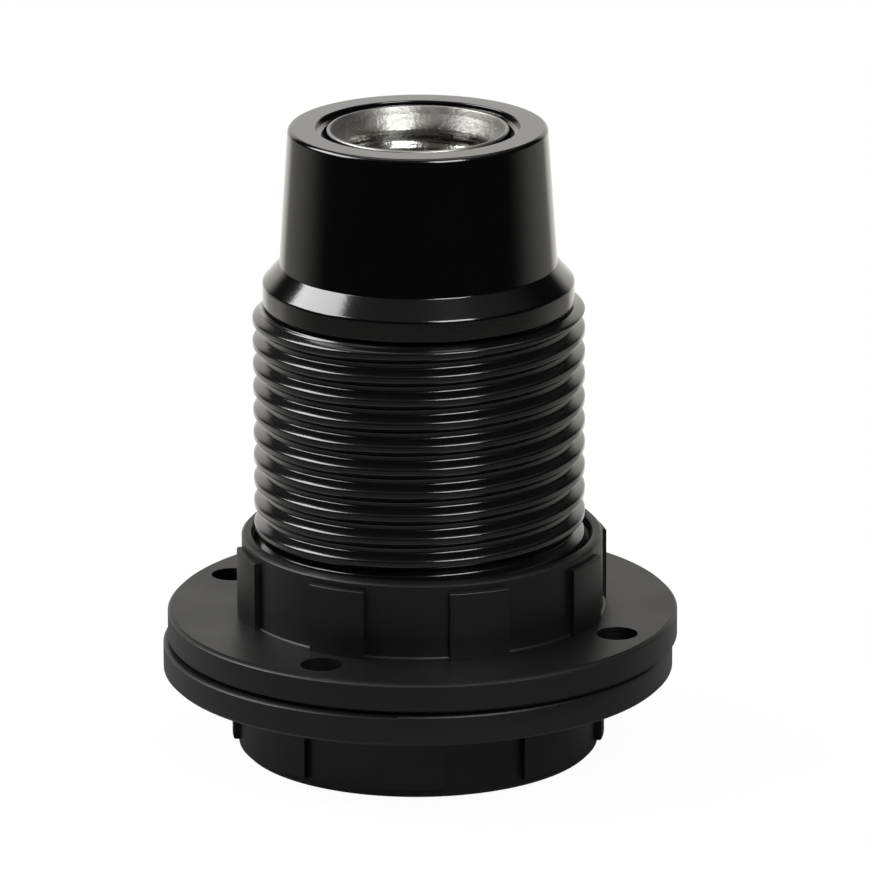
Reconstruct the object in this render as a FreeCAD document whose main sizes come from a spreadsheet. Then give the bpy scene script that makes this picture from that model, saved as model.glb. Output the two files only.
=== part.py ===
# Lamp holder for a small screw-cap lamp, with a threaded barrel and two shade rings.
#
# The holder stands on its base cap with the lamp opening up. Its axis is Z, the floor is z = 0,
# X runs to the right and Y away from the viewer. Every length is in millimetres.

import FreeCAD, Part
import Sketcher
import math
import os
import re

from FreeCAD import Placement, Rotation, Vector

doc = FreeCAD.newDocument("LampHolder")
sheet = doc.addObject("Spreadsheet::Sheet", "Sizes")

# Driving sizes

SIZES = {
    # screw shell of the lamp socket: the barrel, the nose and the inner pieces are sized from it
    "shell_bore": 6.55,
    "shell_sheet": 0.35,
    "shell_foot_step": 0.4,
    "shell_foot_margin": 0.4,
    "shell_flange_width": 2.65,
    "lip_reach": 1.1,
    "lip_width": 0.45,
    "lip_drop": 0.1,
    "funnel_depth": 3.6,
    # nose, the glossy upper shell
    "throat_clearance": 0.55,
    "throat_step": 2.15,
    "throat_length": 10.0,
    "spigot_wall": 2.2,
    "nose_gap": 0.3,
    "nose_height": 15.1,
    "nose_flange_inset": 0.88,
    "nose_chamfer": 1.44,
    "nose_taper": 0.78,
    "nose_root_height": 3.4,
    "nose_flange_height": 1.8,
    "nose_top_round": 0.4,
    "nose_flange_round": 0.4,
    "recess_margin": 0.91,
    "recess_depth": 0.4,
    # barrel and its outside thread
    "barrel_wall": 1.34,
    "barrel_length": 36.5,
    "seat_width": 1.0,
    "seat_drop": 12.1,
    "seat_gap": 0.3,
    "fit_clearance": 0.1,
    "thread_pitch": 2.0,
    "thread_depth": 0.76,
    "crest_share": 0.3,
    "flank_share": 0.26,
    "ridge_root": 0.15,
    "crest_drop": 2.23,
    "thread_chamfer": 0.4,
    # contact carrier inside the barrel
    "carrier_rim": 3.1,
    "deck_clearance": 0.7,
    "deck_rise": 3.9,
    "barrier_thickness": 1.6,
    "barrier_depth": 8.0,
    "barrier_gap": 0.2,
    # centre contact, a bronze tongue
    "tongue_sheet": 0.4,
    "tongue_width_share": 0.55,
    "tongue_reach_share": 0.366,
    "tongue_tail": 1.8,
    "tongue_bend": 1.4,
    "tongue_slope": 1.8,
    "tongue_rise": 3.8,
    "tongue_crown": 1.2,
    "pocket_depth": 1.8,
    "pocket_margin": 0.3,
    # rivets
    "live_rivet_place": 3.2,
    "live_rivet_radius": 1.0,
    "shell_rivet_inset": 1.55,
    "shell_rivet_radius": 0.65,
    "rivet_head_height": 0.45,
    "rivet_head_margin": 0.35,
    "rivet_hollow": 0.35,
    # terminals
    "lug_sheet": 0.8,
    "terminal_clearance": 1.3,
    "terminal_depth": 4.8,
    "terminal_width": 5.2,
    "terminal_height": 6.6,
    "live_ear_margin": 1.7,
    "neutral_ear_margin": 1.2,
    "neutral_ear_overlap": 1.6,
    "neutral_ear_low": 1.0,
    "wire_hole_radius": 1.2,
    "wire_hole_inset": 1.8,
    "clamp_screw_radius": 1.25,
    "clamp_head_radius": 1.9,
    "clamp_head_height": 0.85,
    "clamp_drop": 3.6,
    "guard_sheet": 0.25,
    "guard_width": 1.4,
    "guard_offset": 0.6,
    "screw_slot_width": 0.5,
    "screw_slot_depth": 0.5,
    "running_clearance": 0.05,
    # base cap, entry bush, locking screw and insulating disc
    "cap_inset": 0.8,
    "cap_plate": 2.6,
    "cap_floor_drop": 0.4,
    "cap_chamfer": 0.4,
    "cap_spigot_height": 4.4,
    "cap_spigot_wall": 1.8,
    "bush_bore": 4.46,
    "bush_wall": 1.74,
    "bush_length": 10.0,
    "bush_drop": 0.2,
    "bush_cover": 0.3,
    "bush_groove_depth": 0.5,
    "bush_groove_width": 1.5,
    "bush_groove_height": 2.4,
    "bush_chamfer": 0.5,
    "boss_wall": 1.8,
    "lock_screw_radius": 1.5,
    "lock_screw_length": 4.0,
    "lock_screw_rise": 1.1,
    "lock_screw_gap": 0.64,
    "disc_sheet": 0.8,
    "disc_hole": 3.6,
    # shade rings
    "ring_height": 9.4,
    "ring_clearance": 0.3,
    "collar_wall": 1.0,
    "mouth_chamfer": 0.3,
    "collar_round": 0.35,
    "flange_width": 6.35,
    "flange_thickness": 2.7,
    "flange_round": 0.3,
    "grip_count": 8,
    "grip_angle": 18.6,
    "grip_height": 0.55,
    "grip_drop": 0.85,
    "grip_bevel": 0.12,
    "flange_hole_count": 4,
    "flange_hole_radius": 1.75,
    "flange_hole_share": 0.488,
    "ring_parting": 9.85,
    "ring_gap": 0.1,
    "ring_slack": 0.2,
    "upper_ring_turn": 62.7,
    "lower_ring_turn": -1.45,
}

for row, (alias, number) in enumerate(SIZES.items(), start=1):
    sheet.set(f"A{row}", alias)
    sheet.set(f"B{row}", str(number))
    sheet.setAlias(f"B{row}", alias)
doc.recompute()

# Places that more than one piece shares, in terms of the driving sizes

PLACES = {
    # radii, from the lamp's thread outwards
    "shell_outside": "shell_bore + shell_sheet",
    "foot_bore": "shell_bore - shell_foot_step",
    "foot_outside": "foot_bore + shell_sheet",
    "shell_hole": "shell_bore - shell_flange_width",
    "lip_radius": "shell_bore + lip_reach",
    "lip_inner": "lip_radius - lip_width",
    "recess_radius": "lip_radius + recess_margin",
    "throat_radius": "shell_outside + throat_clearance",
    "spigot_bore": "throat_radius + throat_step",
    "spigot_radius": "spigot_bore + spigot_wall",
    "barrel_bore": "spigot_radius + fit_clearance",
    "waist_bore": "barrel_bore - seat_width",
    "root_radius": "barrel_bore + barrel_wall",
    "crest_radius": "root_radius + thread_depth",
    "nose_flange_radius": "crest_radius - nose_flange_inset",
    "nose_root_radius": "nose_flange_radius - nose_chamfer",
    "nose_top_radius": "nose_root_radius - nose_taper",
    "cap_radius": "crest_radius - cap_inset",
    "ring_bore": "crest_radius + ring_clearance",
    "collar_radius": "ring_bore + collar_wall",
    "flange_radius": "collar_radius + flange_width",
    "flange_hole_circle": "collar_radius + flange_width * flange_hole_share",
    "deck_radius": "spigot_bore - deck_clearance",
    "bush_radius": "bush_bore + bush_wall",
    "boss_radius": "bush_radius + boss_wall",
    # heights, from the floor up
    "barrel_foot": "cap_plate",
    "cap_floor": "cap_plate - cap_floor_drop",
    "cap_spigot_top": "barrel_foot + cap_spigot_height",
    "bush_groove_top": "bush_groove_height + bush_groove_width",
    "boss_height": "bush_drop + bush_length + bush_cover",
    "lock_screw_height": "bush_groove_top + lock_screw_radius + lock_screw_rise",
    "barrel_top": "barrel_foot + barrel_length",
    "carrier_seat": "barrel_top - seat_drop",
    "rim_top": "carrier_seat + carrier_rim",
    "deck_top": "rim_top + deck_rise",
    "pocket_floor": "deck_top - pocket_depth",
    "tongue_top": "pocket_floor + tongue_rise",
    "thread_foot": "tongue_top + shell_foot_margin",
    "nose_foot": "barrel_top + nose_gap",
    "nose_top": "nose_foot + nose_height",
    "recess_floor": "nose_top - recess_depth",
    "lip_top": "nose_top - lip_drop",
    "lug_foot": "carrier_seat - lug_sheet",
    "terminal_foot": "lug_foot - terminal_height",
    "clamp_place": "carrier_seat - clamp_drop",
    # the barrel's thread, whose crest passes +X at the crest height
    "crest_width": "thread_pitch * crest_share",
    "flank_run": "thread_pitch * flank_share",
    "crest_height": "barrel_top - crest_drop",
    "ridge_turns": "ceil((crest_height - barrel_foot) / thread_pitch + 0.5)",
    "ridge_start": "crest_height - thread_pitch * ridge_turns",
    "ridge_half_foot": "crest_width / 2 + flank_run * (1 + ridge_root / thread_depth)",
    # places across the carrier
    "shell_rivet_circle": "shell_bore - shell_rivet_inset",
    "side_rivet_place": "shell_rivet_circle * sqrt(0.5)",
    "shell_rivet_head": "shell_rivet_radius + rivet_head_margin",
    "barrier_width": "2 * (shell_rivet_circle - shell_rivet_head - barrier_gap)",
    "tongue_width": "shell_bore * tongue_width_share",
    "tongue_reach": "shell_bore * tongue_reach_share",
    "tongue_end": "live_rivet_place + tongue_tail",
    "tongue_run": "(tongue_rise - tongue_sheet) / tongue_slope",
    "tongue_corner": "tongue_sheet * (sqrt(1 + tongue_slope ^ 2) - 1) / tongue_slope",
    "terminal_outer": "waist_bore - terminal_clearance",
    "terminal_inner": "terminal_outer - terminal_depth",
    "wire_hole_place": "terminal_inner + wire_hole_inset",
    "guard_place": "wire_hole_place + guard_offset",
    "live_ear_inner": "live_rivet_place - live_ear_margin",
    "neutral_ear_inner": "side_rivet_place - neutral_ear_margin",
    "neutral_ear_high": "side_rivet_place + neutral_ear_margin",
    "neutral_ear_outer": "terminal_inner + neutral_ear_overlap",
    "lock_screw_tip": "bush_bore + lock_screw_gap",
}


def full(text):
    """The expression with its shared places written out and its sizes as cells of the sheet."""

    def swap(match):
        word = match.group()
        if word in PLACES:
            return "(" + full(PLACES[word]) + ")"
        return "Sizes." + word if word in SIZES else word

    return re.sub(r"[a-z][a-z_]*", swap, text)


def value(text):
    """The number that an expression stands for now."""
    return float(sheet.evalExpression(full(text)))


def bind(obj, prop, text):
    obj.setExpression(prop, full(text))


# Helpers for bodies, sketches and features


def new_body(name):
    body = doc.addObject("PartDesign::Body", name)
    body.Label = name
    return body


def origin_part(body, role):
    """One of the body's own origin planes or axes."""
    return next(f for f in body.Origin.OriginFeatures if f.Role == role)


def pin_point(sketch, line, corner, across, text):
    """Tie a corner of the sketch to the origin, across (X) or up (Y), by an expression."""
    number = value(text)
    if abs(number) < 1e-9:
        axis = -2 if across else -1
        sketch.addConstraint(Sketcher.Constraint("PointOnObject", line, corner, axis))
        return
    kind = "DistanceX" if across else "DistanceY"
    if number > 0:
        mark = sketch.addConstraint(Sketcher.Constraint(kind, -1, 1, line, corner, number))
        sketch.setExpression(f"Constraints[{mark}]", full(text))
    else:
        mark = sketch.addConstraint(Sketcher.Constraint(kind, line, corner, -1, 1, -number))
        sketch.setExpression(f"Constraints[{mark}]", f"-({full(text)})")


def new_sketch(body, name, plane):
    sketch = body.newObject("Sketcher::SketchObject", name)
    sketch.AttachmentSupport = (origin_part(body, plane), [""])
    sketch.MapMode = "FlatFace"
    return sketch


def outline(body, name, points):
    """A closed outline of straight lines in the XZ plane, each corner tied by two expressions."""
    sketch = new_sketch(body, name, "XZ_Plane")
    corners = [Vector(value(across), value(up), 0) for across, up in points]
    after = corners[1:] + corners[:1]
    sketch.addGeometry([Part.LineSegment(p, q) for p, q in zip(corners, after)], False)
    count = len(points)
    for line in range(count):
        sketch.addConstraint(Sketcher.Constraint("Coincident", line, 2, (line + 1) % count, 1))
    for line, (across, up) in enumerate(points):
        pin_point(sketch, line, 1, True, across)
        pin_point(sketch, line, 1, False, up)
    return sketch


def turned(body, name, points, kind="PartDesign::Revolution"):
    """The outline turned once round Z: a solid, or a cut where kind is a groove."""
    sketch = outline(body, name + "_outline", points)
    feature = body.newObject(kind, name)
    feature.Profile = sketch
    feature.ReferenceAxis = (sketch, ["V_Axis"])
    feature.Angle = 360
    return feature


def circles_at(shape, radius, height):
    """Names of the shape's round edges about Z that have this radius and height."""
    found = []
    for number, edge in enumerate(shape.Edges, start=1):
        curve = edge.Curve
        if not isinstance(curve, Part.Circle):
            continue
        centred = math.hypot(curve.Center.x, curve.Center.y) < 0.01
        if centred and abs(curve.Radius - radius) < 0.01 and abs(curve.Center.z - height) < 0.01:
            found.append(f"Edge{number}")
    return found


def rounded(body, name, size, places):
    """Round the circles of the body's last feature that lie at these radii and heights."""
    doc.recompute()
    base = body.Tip
    edges = []
    for radius, height in places:
        edges += circles_at(base.Shape, value(radius), value(height))
    fillet = body.newObject("PartDesign::Fillet", name)
    fillet.Base = (base, edges)
    bind(fillet, "Radius", size)


def around(body, name, feature, count):
    """Repeat a feature of the body evenly round Z."""
    pattern = body.newObject("PartDesign::PolarPattern", name)
    pattern.Originals = [feature]
    pattern.Axis = (origin_part(body, "Z_Axis"), [""])
    pattern.Angle = 360
    bind(pattern, "Occurrences", count)
    body.Tip = pattern


def rod(name, radius, height, place, direction=Vector(0, 0, 1)):
    """A round bar that starts at a place and runs along a direction."""
    bar = doc.addObject("Part::Cylinder", name)
    bind(bar, "Radius", radius)
    bind(bar, "Height", height)
    bar.Placement = Placement(Vector(), Rotation(Vector(0, 0, 1), direction))
    for axis, text in zip("xyz", place):
        bind(bar, f"Placement.Base.{axis}", text)
    return bar


def block(name, corner, spans):
    """A box from its low corner, with its spans along X, Y and Z."""
    box = doc.addObject("Part::Box", name)
    for prop, text in zip(("Length", "Width", "Height"), spans):
        bind(box, prop, text)
    for axis, text in zip("xyz", corner):
        bind(box, f"Placement.Base.{axis}", text)
    return box


def joined(name, pieces):
    union = doc.addObject("Part::MultiFuse", name)
    union.Shapes = pieces
    union.Refine = True
    union.Label = name
    return union


def without(name, base, tools):
    """The base with the tools cut out of it."""
    tool = joined(name + "_tools", tools) if len(tools) > 1 else tools[0]
    result = doc.addObject("Part::Cut", name)
    result.Base = base
    result.Tool = tool
    result.Refine = True
    result.Label = name
    return result


# Threaded barrel: a tube with a right-hand thread moulded round its outside


def make_barrel():
    body = new_body("threaded_barrel")
    turned(body, "barrel_tube", [
        ("barrel_bore", "barrel_foot"),
        ("root_radius", "barrel_foot"),
        ("root_radius", "barrel_top"),
        ("barrel_bore", "barrel_top"),
        ("barrel_bore", "carrier_seat"),
        ("waist_bore", "carrier_seat"),
        ("waist_bore", "cap_spigot_top + seat_gap"),
        ("barrel_bore", "cap_spigot_top + seat_gap"),
    ])
    doc.recompute()
    ridge = outline(body, "ridge_outline", [
        ("root_radius - ridge_root", "ridge_start - ridge_half_foot"),
        ("crest_radius", "ridge_start - crest_width / 2"),
        ("crest_radius", "ridge_start + crest_width / 2"),
        ("root_radius - ridge_root", "ridge_start + ridge_half_foot"),
    ])
    thread = body.newObject("PartDesign::AdditiveHelix", "barrel_thread")
    thread.Profile = ridge
    thread.ReferenceAxis = (ridge, ["V_Axis"])
    thread.Mode = 0
    bind(thread, "Pitch", "thread_pitch")
    bind(thread, "Height", "barrel_top - ridge_start + thread_pitch")
    thread.LeftHanded = False
    doc.recompute()
    outer = "crest_radius + thread_pitch"
    turned(body, "top_trim", [
        ("waist_bore", "barrel_top"),
        ("crest_radius - thread_chamfer", "barrel_top"),
        (outer, "barrel_top - thread_chamfer - thread_pitch"),
        (outer, "barrel_top + thread_pitch * 3"),
        ("waist_bore", "barrel_top + thread_pitch * 3"),
    ], "PartDesign::Groove")
    turned(body, "foot_trim", [
        ("waist_bore", "barrel_foot"),
        ("waist_bore", "barrel_foot - thread_pitch * 4"),
        (outer, "barrel_foot - thread_pitch * 4"),
        (outer, "barrel_foot + thread_chamfer + thread_pitch"),
        ("crest_radius - thread_chamfer", "barrel_foot"),
    ], "PartDesign::Groove")
    return body


# Nose: the glossy upper shell, with a spigot that goes down inside the barrel


def make_nose():
    body = new_body("nose")
    throat_foot = "recess_floor - throat_length"
    turned(body, "nose_shell", [
        ("throat_radius", "recess_floor"),
        ("recess_radius", "recess_floor"),
        ("recess_radius", "nose_top"),
        ("nose_top_radius", "nose_top"),
        ("nose_root_radius", "nose_foot + nose_root_height"),
        ("nose_flange_radius", "nose_foot + nose_flange_height"),
        ("nose_flange_radius", "nose_foot"),
        ("spigot_radius", "nose_foot"),
        ("spigot_radius", "rim_top"),
        ("spigot_bore", "rim_top"),
        ("spigot_bore", throat_foot + " - (spigot_bore - throat_radius)"),
        ("throat_radius", throat_foot),
    ])
    rounded(body, "nose_top_fillet", "nose_top_round", [("nose_top_radius", "nose_top")])
    rounded(body, "nose_flange_fillet", "nose_flange_round", [
        ("nose_flange_radius", "nose_foot + nose_flange_height"),
    ])
    return body


# Screw shell: a cup of sheet metal with a narrower foot, a flared mouth and a rolled lip


def make_screw_shell():
    cup = new_body("shell_cup")
    funnel_foot = "lip_top - funnel_depth"
    turned(cup, "shell_wall", [
        ("shell_hole", "deck_top"),
        ("foot_outside", "deck_top"),
        ("foot_outside", "thread_foot - shell_foot_step"),
        ("shell_outside", "thread_foot"),
        ("shell_outside", funnel_foot),
        ("lip_inner", "recess_floor"),
        ("lip_radius", "recess_floor"),
        ("lip_radius", "lip_top - lip_drop"),
        ("lip_radius - lip_drop", "lip_top"),
        ("lip_inner", "lip_top"),
        ("lip_inner - shell_sheet * 0.7", "recess_floor - shell_sheet"),
        ("shell_bore + shell_sheet * 0.3", "lip_top - funnel_depth * 0.6"),
        ("shell_bore", funnel_foot),
        ("shell_bore", "thread_foot"),
        ("foot_bore", "thread_foot - shell_foot_step"),
        ("foot_bore", "deck_top + shell_sheet"),
        ("shell_hole", "deck_top + shell_sheet"),
    ])
    return without("screw_shell", cup, rivet_holes("shell_rivet_hole", "deck_top", "shell_sheet"))


# Contact carrier: a moulded disc that the nose clamps on the barrel's shoulder.
# Its deck holds the screw shell, and a barrier under it keeps the two terminals apart.

SHELL_RIVETS = {
    "side_rivet": ("-side_rivet_place", "side_rivet_place"),
    "front_shell_rivet": ("0", "-shell_rivet_circle"),
    "back_shell_rivet": ("0", "shell_rivet_circle"),
}


def rivet_holes(name, low, height):
    """Tools for the three holes through which the screw shell is riveted."""
    radius = "shell_rivet_radius + running_clearance"
    return [
        rod(f"{name}_{number}", radius, height, (across, along, low))
        for number, (across, along) in enumerate(SHELL_RIVETS.values(), start=1)
    ]


def make_contact_carrier():
    solid = joined("carrier_blank", [
        rod("carrier_disc", "barrel_bore - fit_clearance", "carrier_rim", ("0", "0", "carrier_seat")),
        rod("carrier_deck", "deck_radius", "deck_rise + carrier_rim", ("0", "0", "carrier_seat")),
        block(
            "carrier_barrier",
            ("-barrier_thickness / 2", "-barrier_width / 2", "carrier_seat - barrier_depth"),
            ("barrier_thickness", "barrier_width", "barrier_depth + carrier_rim"),
        ),
    ])
    pocket = block(
        "tongue_pocket",
        ("-tongue_reach - pocket_margin", "-tongue_width / 2 - pocket_margin", "pocket_floor"),
        ("tongue_reach + tongue_end + pocket_margin * 2", "tongue_width + pocket_margin * 2",
         "pocket_depth"),
    )
    live_hole = rod(
        "live_rivet_hole", "live_rivet_radius + running_clearance", "pocket_floor - carrier_seat",
        ("live_rivet_place", "0", "carrier_seat"),
    )
    holes = rivet_holes("carrier_rivet_hole", "carrier_seat", "carrier_rim + deck_rise")
    return without("contact_carrier", solid, [pocket, live_hole] + holes)


# Centre contact: a bronze tongue, riveted flat at one end, that rises to meet the lamp


def make_centre_contact():
    body = new_body("tongue_strip")
    under = "tongue_top - tongue_sheet"
    sketch = outline(body, "tongue_outline", [
        ("tongue_end", "pocket_floor"),
        ("tongue_end", "pocket_floor + tongue_sheet"),
        ("tongue_bend + tongue_corner", "pocket_floor + tongue_sheet"),
        ("tongue_bend - tongue_run + tongue_corner", "tongue_top"),
        ("-tongue_crown - tongue_sheet / 4", "tongue_top"),
        ("-tongue_reach", under + " - tongue_sheet / 2"),
        ("-tongue_reach + tongue_sheet / 2", under + " - tongue_sheet * 1.4"),
        ("-tongue_crown", under),
        ("tongue_bend - tongue_run", under),
        ("tongue_bend", "pocket_floor"),
    ])
    strip = body.newObject("PartDesign::Pad", "tongue_pad")
    strip.Profile = sketch
    strip.Midplane = True
    bind(strip, "Length", "tongue_width")
    hole = rod(
        "tongue_hole", "live_rivet_radius + running_clearance", "tongue_sheet",
        ("live_rivet_place", "0", "pocket_floor"),
    )
    return without("centre_contact", body, [hole])


# Hollow rivets: a shank with a turned-over head at each end


def make_rivet(name, radius, place, low, high):
    """The rivet grips what lies between the heights low and high."""
    across, along = place
    head = f"{radius} + rivet_head_margin"
    grip = f"({high}) - ({low})"
    solid = joined(name + "_blank", [
        rod(name + "_shank", radius, grip, (across, along, low)),
        rod(name + "_low_head", head, "rivet_head_height", (across, along, f"{low} - rivet_head_height")),
        rod(name + "_high_head", head, "rivet_head_height", (across, along, high)),
    ])
    hollow = rod(
        name + "_hollow", "rivet_hollow", f"{grip} + rivet_head_height * 2",
        (across, along, f"{low} - rivet_head_height"),
    )
    return without(name, solid, [hollow])


def make_rivets():
    live = make_rivet(
        "centre_rivet", "live_rivet_radius", ("live_rivet_place", "0"),
        "lug_foot", "pocket_floor + tongue_sheet",
    )
    grips = {"side_rivet": "lug_foot"}
    shell = [
        make_rivet(name, "shell_rivet_radius", place, grips.get(name, "carrier_seat"),
                   "deck_top + shell_sheet")
        for name, place in SHELL_RIVETS.items()
    ]
    return [live] + shell


# Terminals: a brass block with a lug, a wire hole from below and a clamping screw from the side


def sided(side, text):
    return text if side > 0 else f"-({text})"


def make_terminal(name, side, ear_corner, ear_spans):
    """One terminal. It sits at +X for side 1 and at -X for side -1."""
    low = "terminal_inner" if side > 0 else "-terminal_outer"
    solid = joined(name + "_blank", [
        block(name + "_block", (low, "-terminal_width / 2", "terminal_foot"),
              ("terminal_outer - terminal_inner", "terminal_width", "terminal_height + lug_sheet")),
        block(name + "_ear", ear_corner + ("lug_foot",), ear_spans + ("lug_sheet",)),
    ])
    wire_hole = rod(name + "_wire_hole", "wire_hole_radius", "terminal_height",
                    (sided(side, "wire_hole_place"), "0", "terminal_foot"))
    screw_hole = rod(name + "_screw_hole", "clamp_screw_radius + running_clearance",
                     "terminal_outer - wire_hole_place",
                     (sided(side, "wire_hole_place"), "0", "clamp_place"), Vector(side, 0, 0))
    if side > 0:
        rivet = ("live_rivet_place", "0", "lug_foot")
        radius = "live_rivet_radius + running_clearance"
    else:
        rivet = SHELL_RIVETS["side_rivet"] + ("lug_foot",)
        radius = "shell_rivet_radius + running_clearance"
    rivet_hole = rod(name + "_rivet_hole", radius, "lug_sheet", rivet)
    return without(name, solid, [wire_hole, screw_hole, rivet_hole])


def make_terminal_screw(name, side):
    """A slotted screw whose tip presses the wire guard."""
    tip = "guard_place + guard_sheet + running_clearance"
    toward = Vector(side, 0, 0)
    solid = joined(name + "_blank", [
        rod(name + "_shank", "clamp_screw_radius",
            f"terminal_outer + running_clearance + clamp_head_height - ({tip})",
            (sided(side, tip), "0", "clamp_place"), toward),
        rod(name + "_head", "clamp_head_radius", "clamp_head_height",
            (sided(side, "terminal_outer + running_clearance"), "0", "clamp_place"), toward),
    ])
    head_end = "terminal_outer + running_clearance + clamp_head_height"
    slot_low = f"{head_end} - screw_slot_depth" if side > 0 else f"-({head_end})"
    slot = block(name + "_slot", (slot_low, "-clamp_head_radius", "clamp_place - screw_slot_width / 2"),
                 ("screw_slot_depth", "clamp_head_radius * 2", "screw_slot_width"))
    return without(name, solid, [slot])


def make_wire_guard(name, side):
    """A brass strip between the screw and the wire, hooked under the block."""
    leg_low = "guard_place" if side > 0 else "-guard_place - guard_sheet"
    foot_low = "guard_place" if side > 0 else "-terminal_outer"
    leg = block(name + "_leg", (leg_low, "-guard_width / 2", "terminal_foot - guard_sheet"),
                ("guard_sheet", "guard_width", "terminal_height"))
    foot = block(name + "_foot", (foot_low, "-guard_width / 2", "terminal_foot - guard_sheet"),
                 ("terminal_outer - guard_place", "guard_width", "guard_sheet"))
    return joined(name, [leg, foot])


# Base cap: closes the barrel's foot and carries the threaded entry bush in its boss


def make_base_cap():
    blank = new_body("cap_blank")
    turned(blank, "cap_turned", [
        ("bush_radius", "0"),
        ("cap_radius - cap_chamfer", "0"),
        ("cap_radius", "cap_chamfer"),
        ("cap_radius", "barrel_foot"),
        ("spigot_radius", "barrel_foot"),
        ("spigot_radius", "cap_spigot_top"),
        ("spigot_radius - cap_spigot_wall", "cap_spigot_top"),
        ("spigot_radius - cap_spigot_wall", "cap_floor"),
        ("boss_radius", "cap_floor"),
        ("boss_radius", "boss_height"),
        ("bush_radius", "boss_height"),
        ("bush_radius", "bush_groove_top"),
        ("bush_radius - bush_groove_depth", "bush_groove_top"),
        ("bush_radius - bush_groove_depth", "bush_groove_height"),
        ("bush_radius", "bush_groove_height"),
    ])
    return without("base_cap", blank, [lock_hole("cap_lock_hole")])


def lock_hole(name):
    """The hole from the bush's bore out through the boss, towards the viewer."""
    return rod(name, "lock_screw_radius + running_clearance",
               "boss_radius - lock_screw_tip / 2 + running_clearance",
               ("0", "-lock_screw_tip / 2", "lock_screw_height"), Vector(0, -1, 0))


def make_entry_bush():
    blank = new_body("bush_blank")
    turned(blank, "bush_turned", [
        ("bush_bore + bush_chamfer", "bush_drop"),
        ("bush_radius", "bush_drop"),
        ("bush_radius", "bush_groove_height"),
        ("bush_radius - bush_groove_depth", "bush_groove_height"),
        ("bush_radius - bush_groove_depth", "bush_groove_top"),
        ("bush_radius", "bush_groove_top"),
        ("bush_radius", "bush_drop + bush_length"),
        ("bush_bore + bush_chamfer", "bush_drop + bush_length"),
        ("bush_bore", "bush_drop + bush_length - bush_chamfer"),
        ("bush_bore", "bush_drop + bush_chamfer"),
    ])
    return without("entry_bush", blank, [lock_hole("bush_lock_hole")])


def make_lock_screw():
    """A headless slotted screw that locks the pipe in the bush."""
    shank = rod("lock_screw_shank", "lock_screw_radius", "lock_screw_length",
                ("0", "-lock_screw_tip", "lock_screw_height"), Vector(0, -1, 0))
    slot = block(
        "lock_screw_slot",
        ("-lock_screw_radius", "-lock_screw_tip - lock_screw_length",
         "lock_screw_height - screw_slot_width / 2"),
        ("lock_screw_radius * 2", "screw_slot_depth", "screw_slot_width"),
    )
    return without("lock_screw", shank, [slot])


def make_insulating_disc():
    """A fibre disc on the boss, between the metal bush and the terminals."""
    disc = rod("disc_blank", "waist_bore - seat_gap", "disc_sheet", ("0", "0", "boss_height"))
    hole = rod("disc_hole", "disc_hole", "disc_sheet", ("0", "0", "boss_height"))
    return without("insulating_disc", disc, [hole])


# Shade rings: two alike, screwed on the barrel with their flanges face to face


def make_shade_ring(name):
    """A ring in its own frame, with the flange's mating face at z = 0 and the collar up."""
    body = new_body(name)
    turned(body, name + "_turned", [
        ("ring_bore + mouth_chamfer", "0"),
        ("flange_radius", "0"),
        ("flange_radius", "flange_thickness"),
        ("collar_radius + mouth_chamfer", "flange_thickness"),
        ("collar_radius", "flange_thickness + mouth_chamfer"),
        ("collar_radius", "ring_height"),
        ("ring_bore + mouth_chamfer", "ring_height"),
        ("ring_bore", "ring_height - mouth_chamfer"),
        ("ring_bore", "mouth_chamfer"),
    ])
    rounded(body, name + "_fillet", "flange_round", [
        ("flange_radius", "0"),
        ("flange_radius", "flange_thickness"),
    ])
    rounded(body, name + "_rim_fillet", "collar_round", [("collar_radius", "ring_height")])
    doc.recompute()
    grip_outline = outline(body, name + "_grip_outline", [
        ("collar_radius - collar_wall / 2", "flange_thickness - flange_round"),
        ("collar_radius + grip_height", "flange_thickness - flange_round"),
        ("collar_radius + grip_height", "ring_height - grip_drop - grip_bevel"),
        ("collar_radius + grip_height - grip_bevel", "ring_height - grip_drop"),
        ("collar_radius - collar_wall / 2", "ring_height - grip_drop"),
    ])
    grip = body.newObject("PartDesign::Revolution", name + "_grip")
    grip.Profile = grip_outline
    grip.ReferenceAxis = (grip_outline, ["V_Axis"])
    grip.Midplane = True
    bind(grip, "Angle", "grip_angle")
    around(body, name + "_grips", grip, "grip_count")
    doc.recompute()
    spot = new_sketch(body, name + "_hole_outline", "XY_Plane")
    place = Vector(value("flange_hole_circle"), 0, 0)
    spot.addGeometry(Part.Circle(place, Vector(0, 0, 1), value("flange_hole_radius")), False)
    pin_point(spot, 0, 3, True, "flange_hole_circle")
    pin_point(spot, 0, 3, False, "0")
    radius = spot.addConstraint(Sketcher.Constraint("Radius", 0, value("flange_hole_radius")))
    spot.setExpression(f"Constraints[{radius}]", full("flange_hole_radius"))
    hole = body.newObject("PartDesign::Pocket", name + "_hole")
    hole.Profile = spot
    hole.Type = "ThroughAll"
    hole.Midplane = True
    around(body, name + "_holes", hole, "flange_hole_count")
    return body


def place_ring(body, side, turn):
    """Stand the ring on the parting plane: collar up for side 1, collar down for side -1."""
    bind(body, "Placement.Base.x", f"ring_slack * {side}")
    bind(body, "Placement.Base.z", f"ring_parting + ring_gap / 2 * {side}")
    upright = Rotation(Vector(1, 0, 0), 0 if side > 0 else 180)
    body.Placement.Rotation = Rotation(Vector(0, 0, 1), value(turn)).multiply(upright)


def make_shade_rings():
    upper = make_shade_ring("upper_shade_ring")
    lower = make_shade_ring("lower_shade_ring")
    place_ring(upper, 1, "upper_ring_turn")
    place_ring(lower, -1, "lower_ring_turn")
    return [upper, lower]


# Build the whole holder

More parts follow.
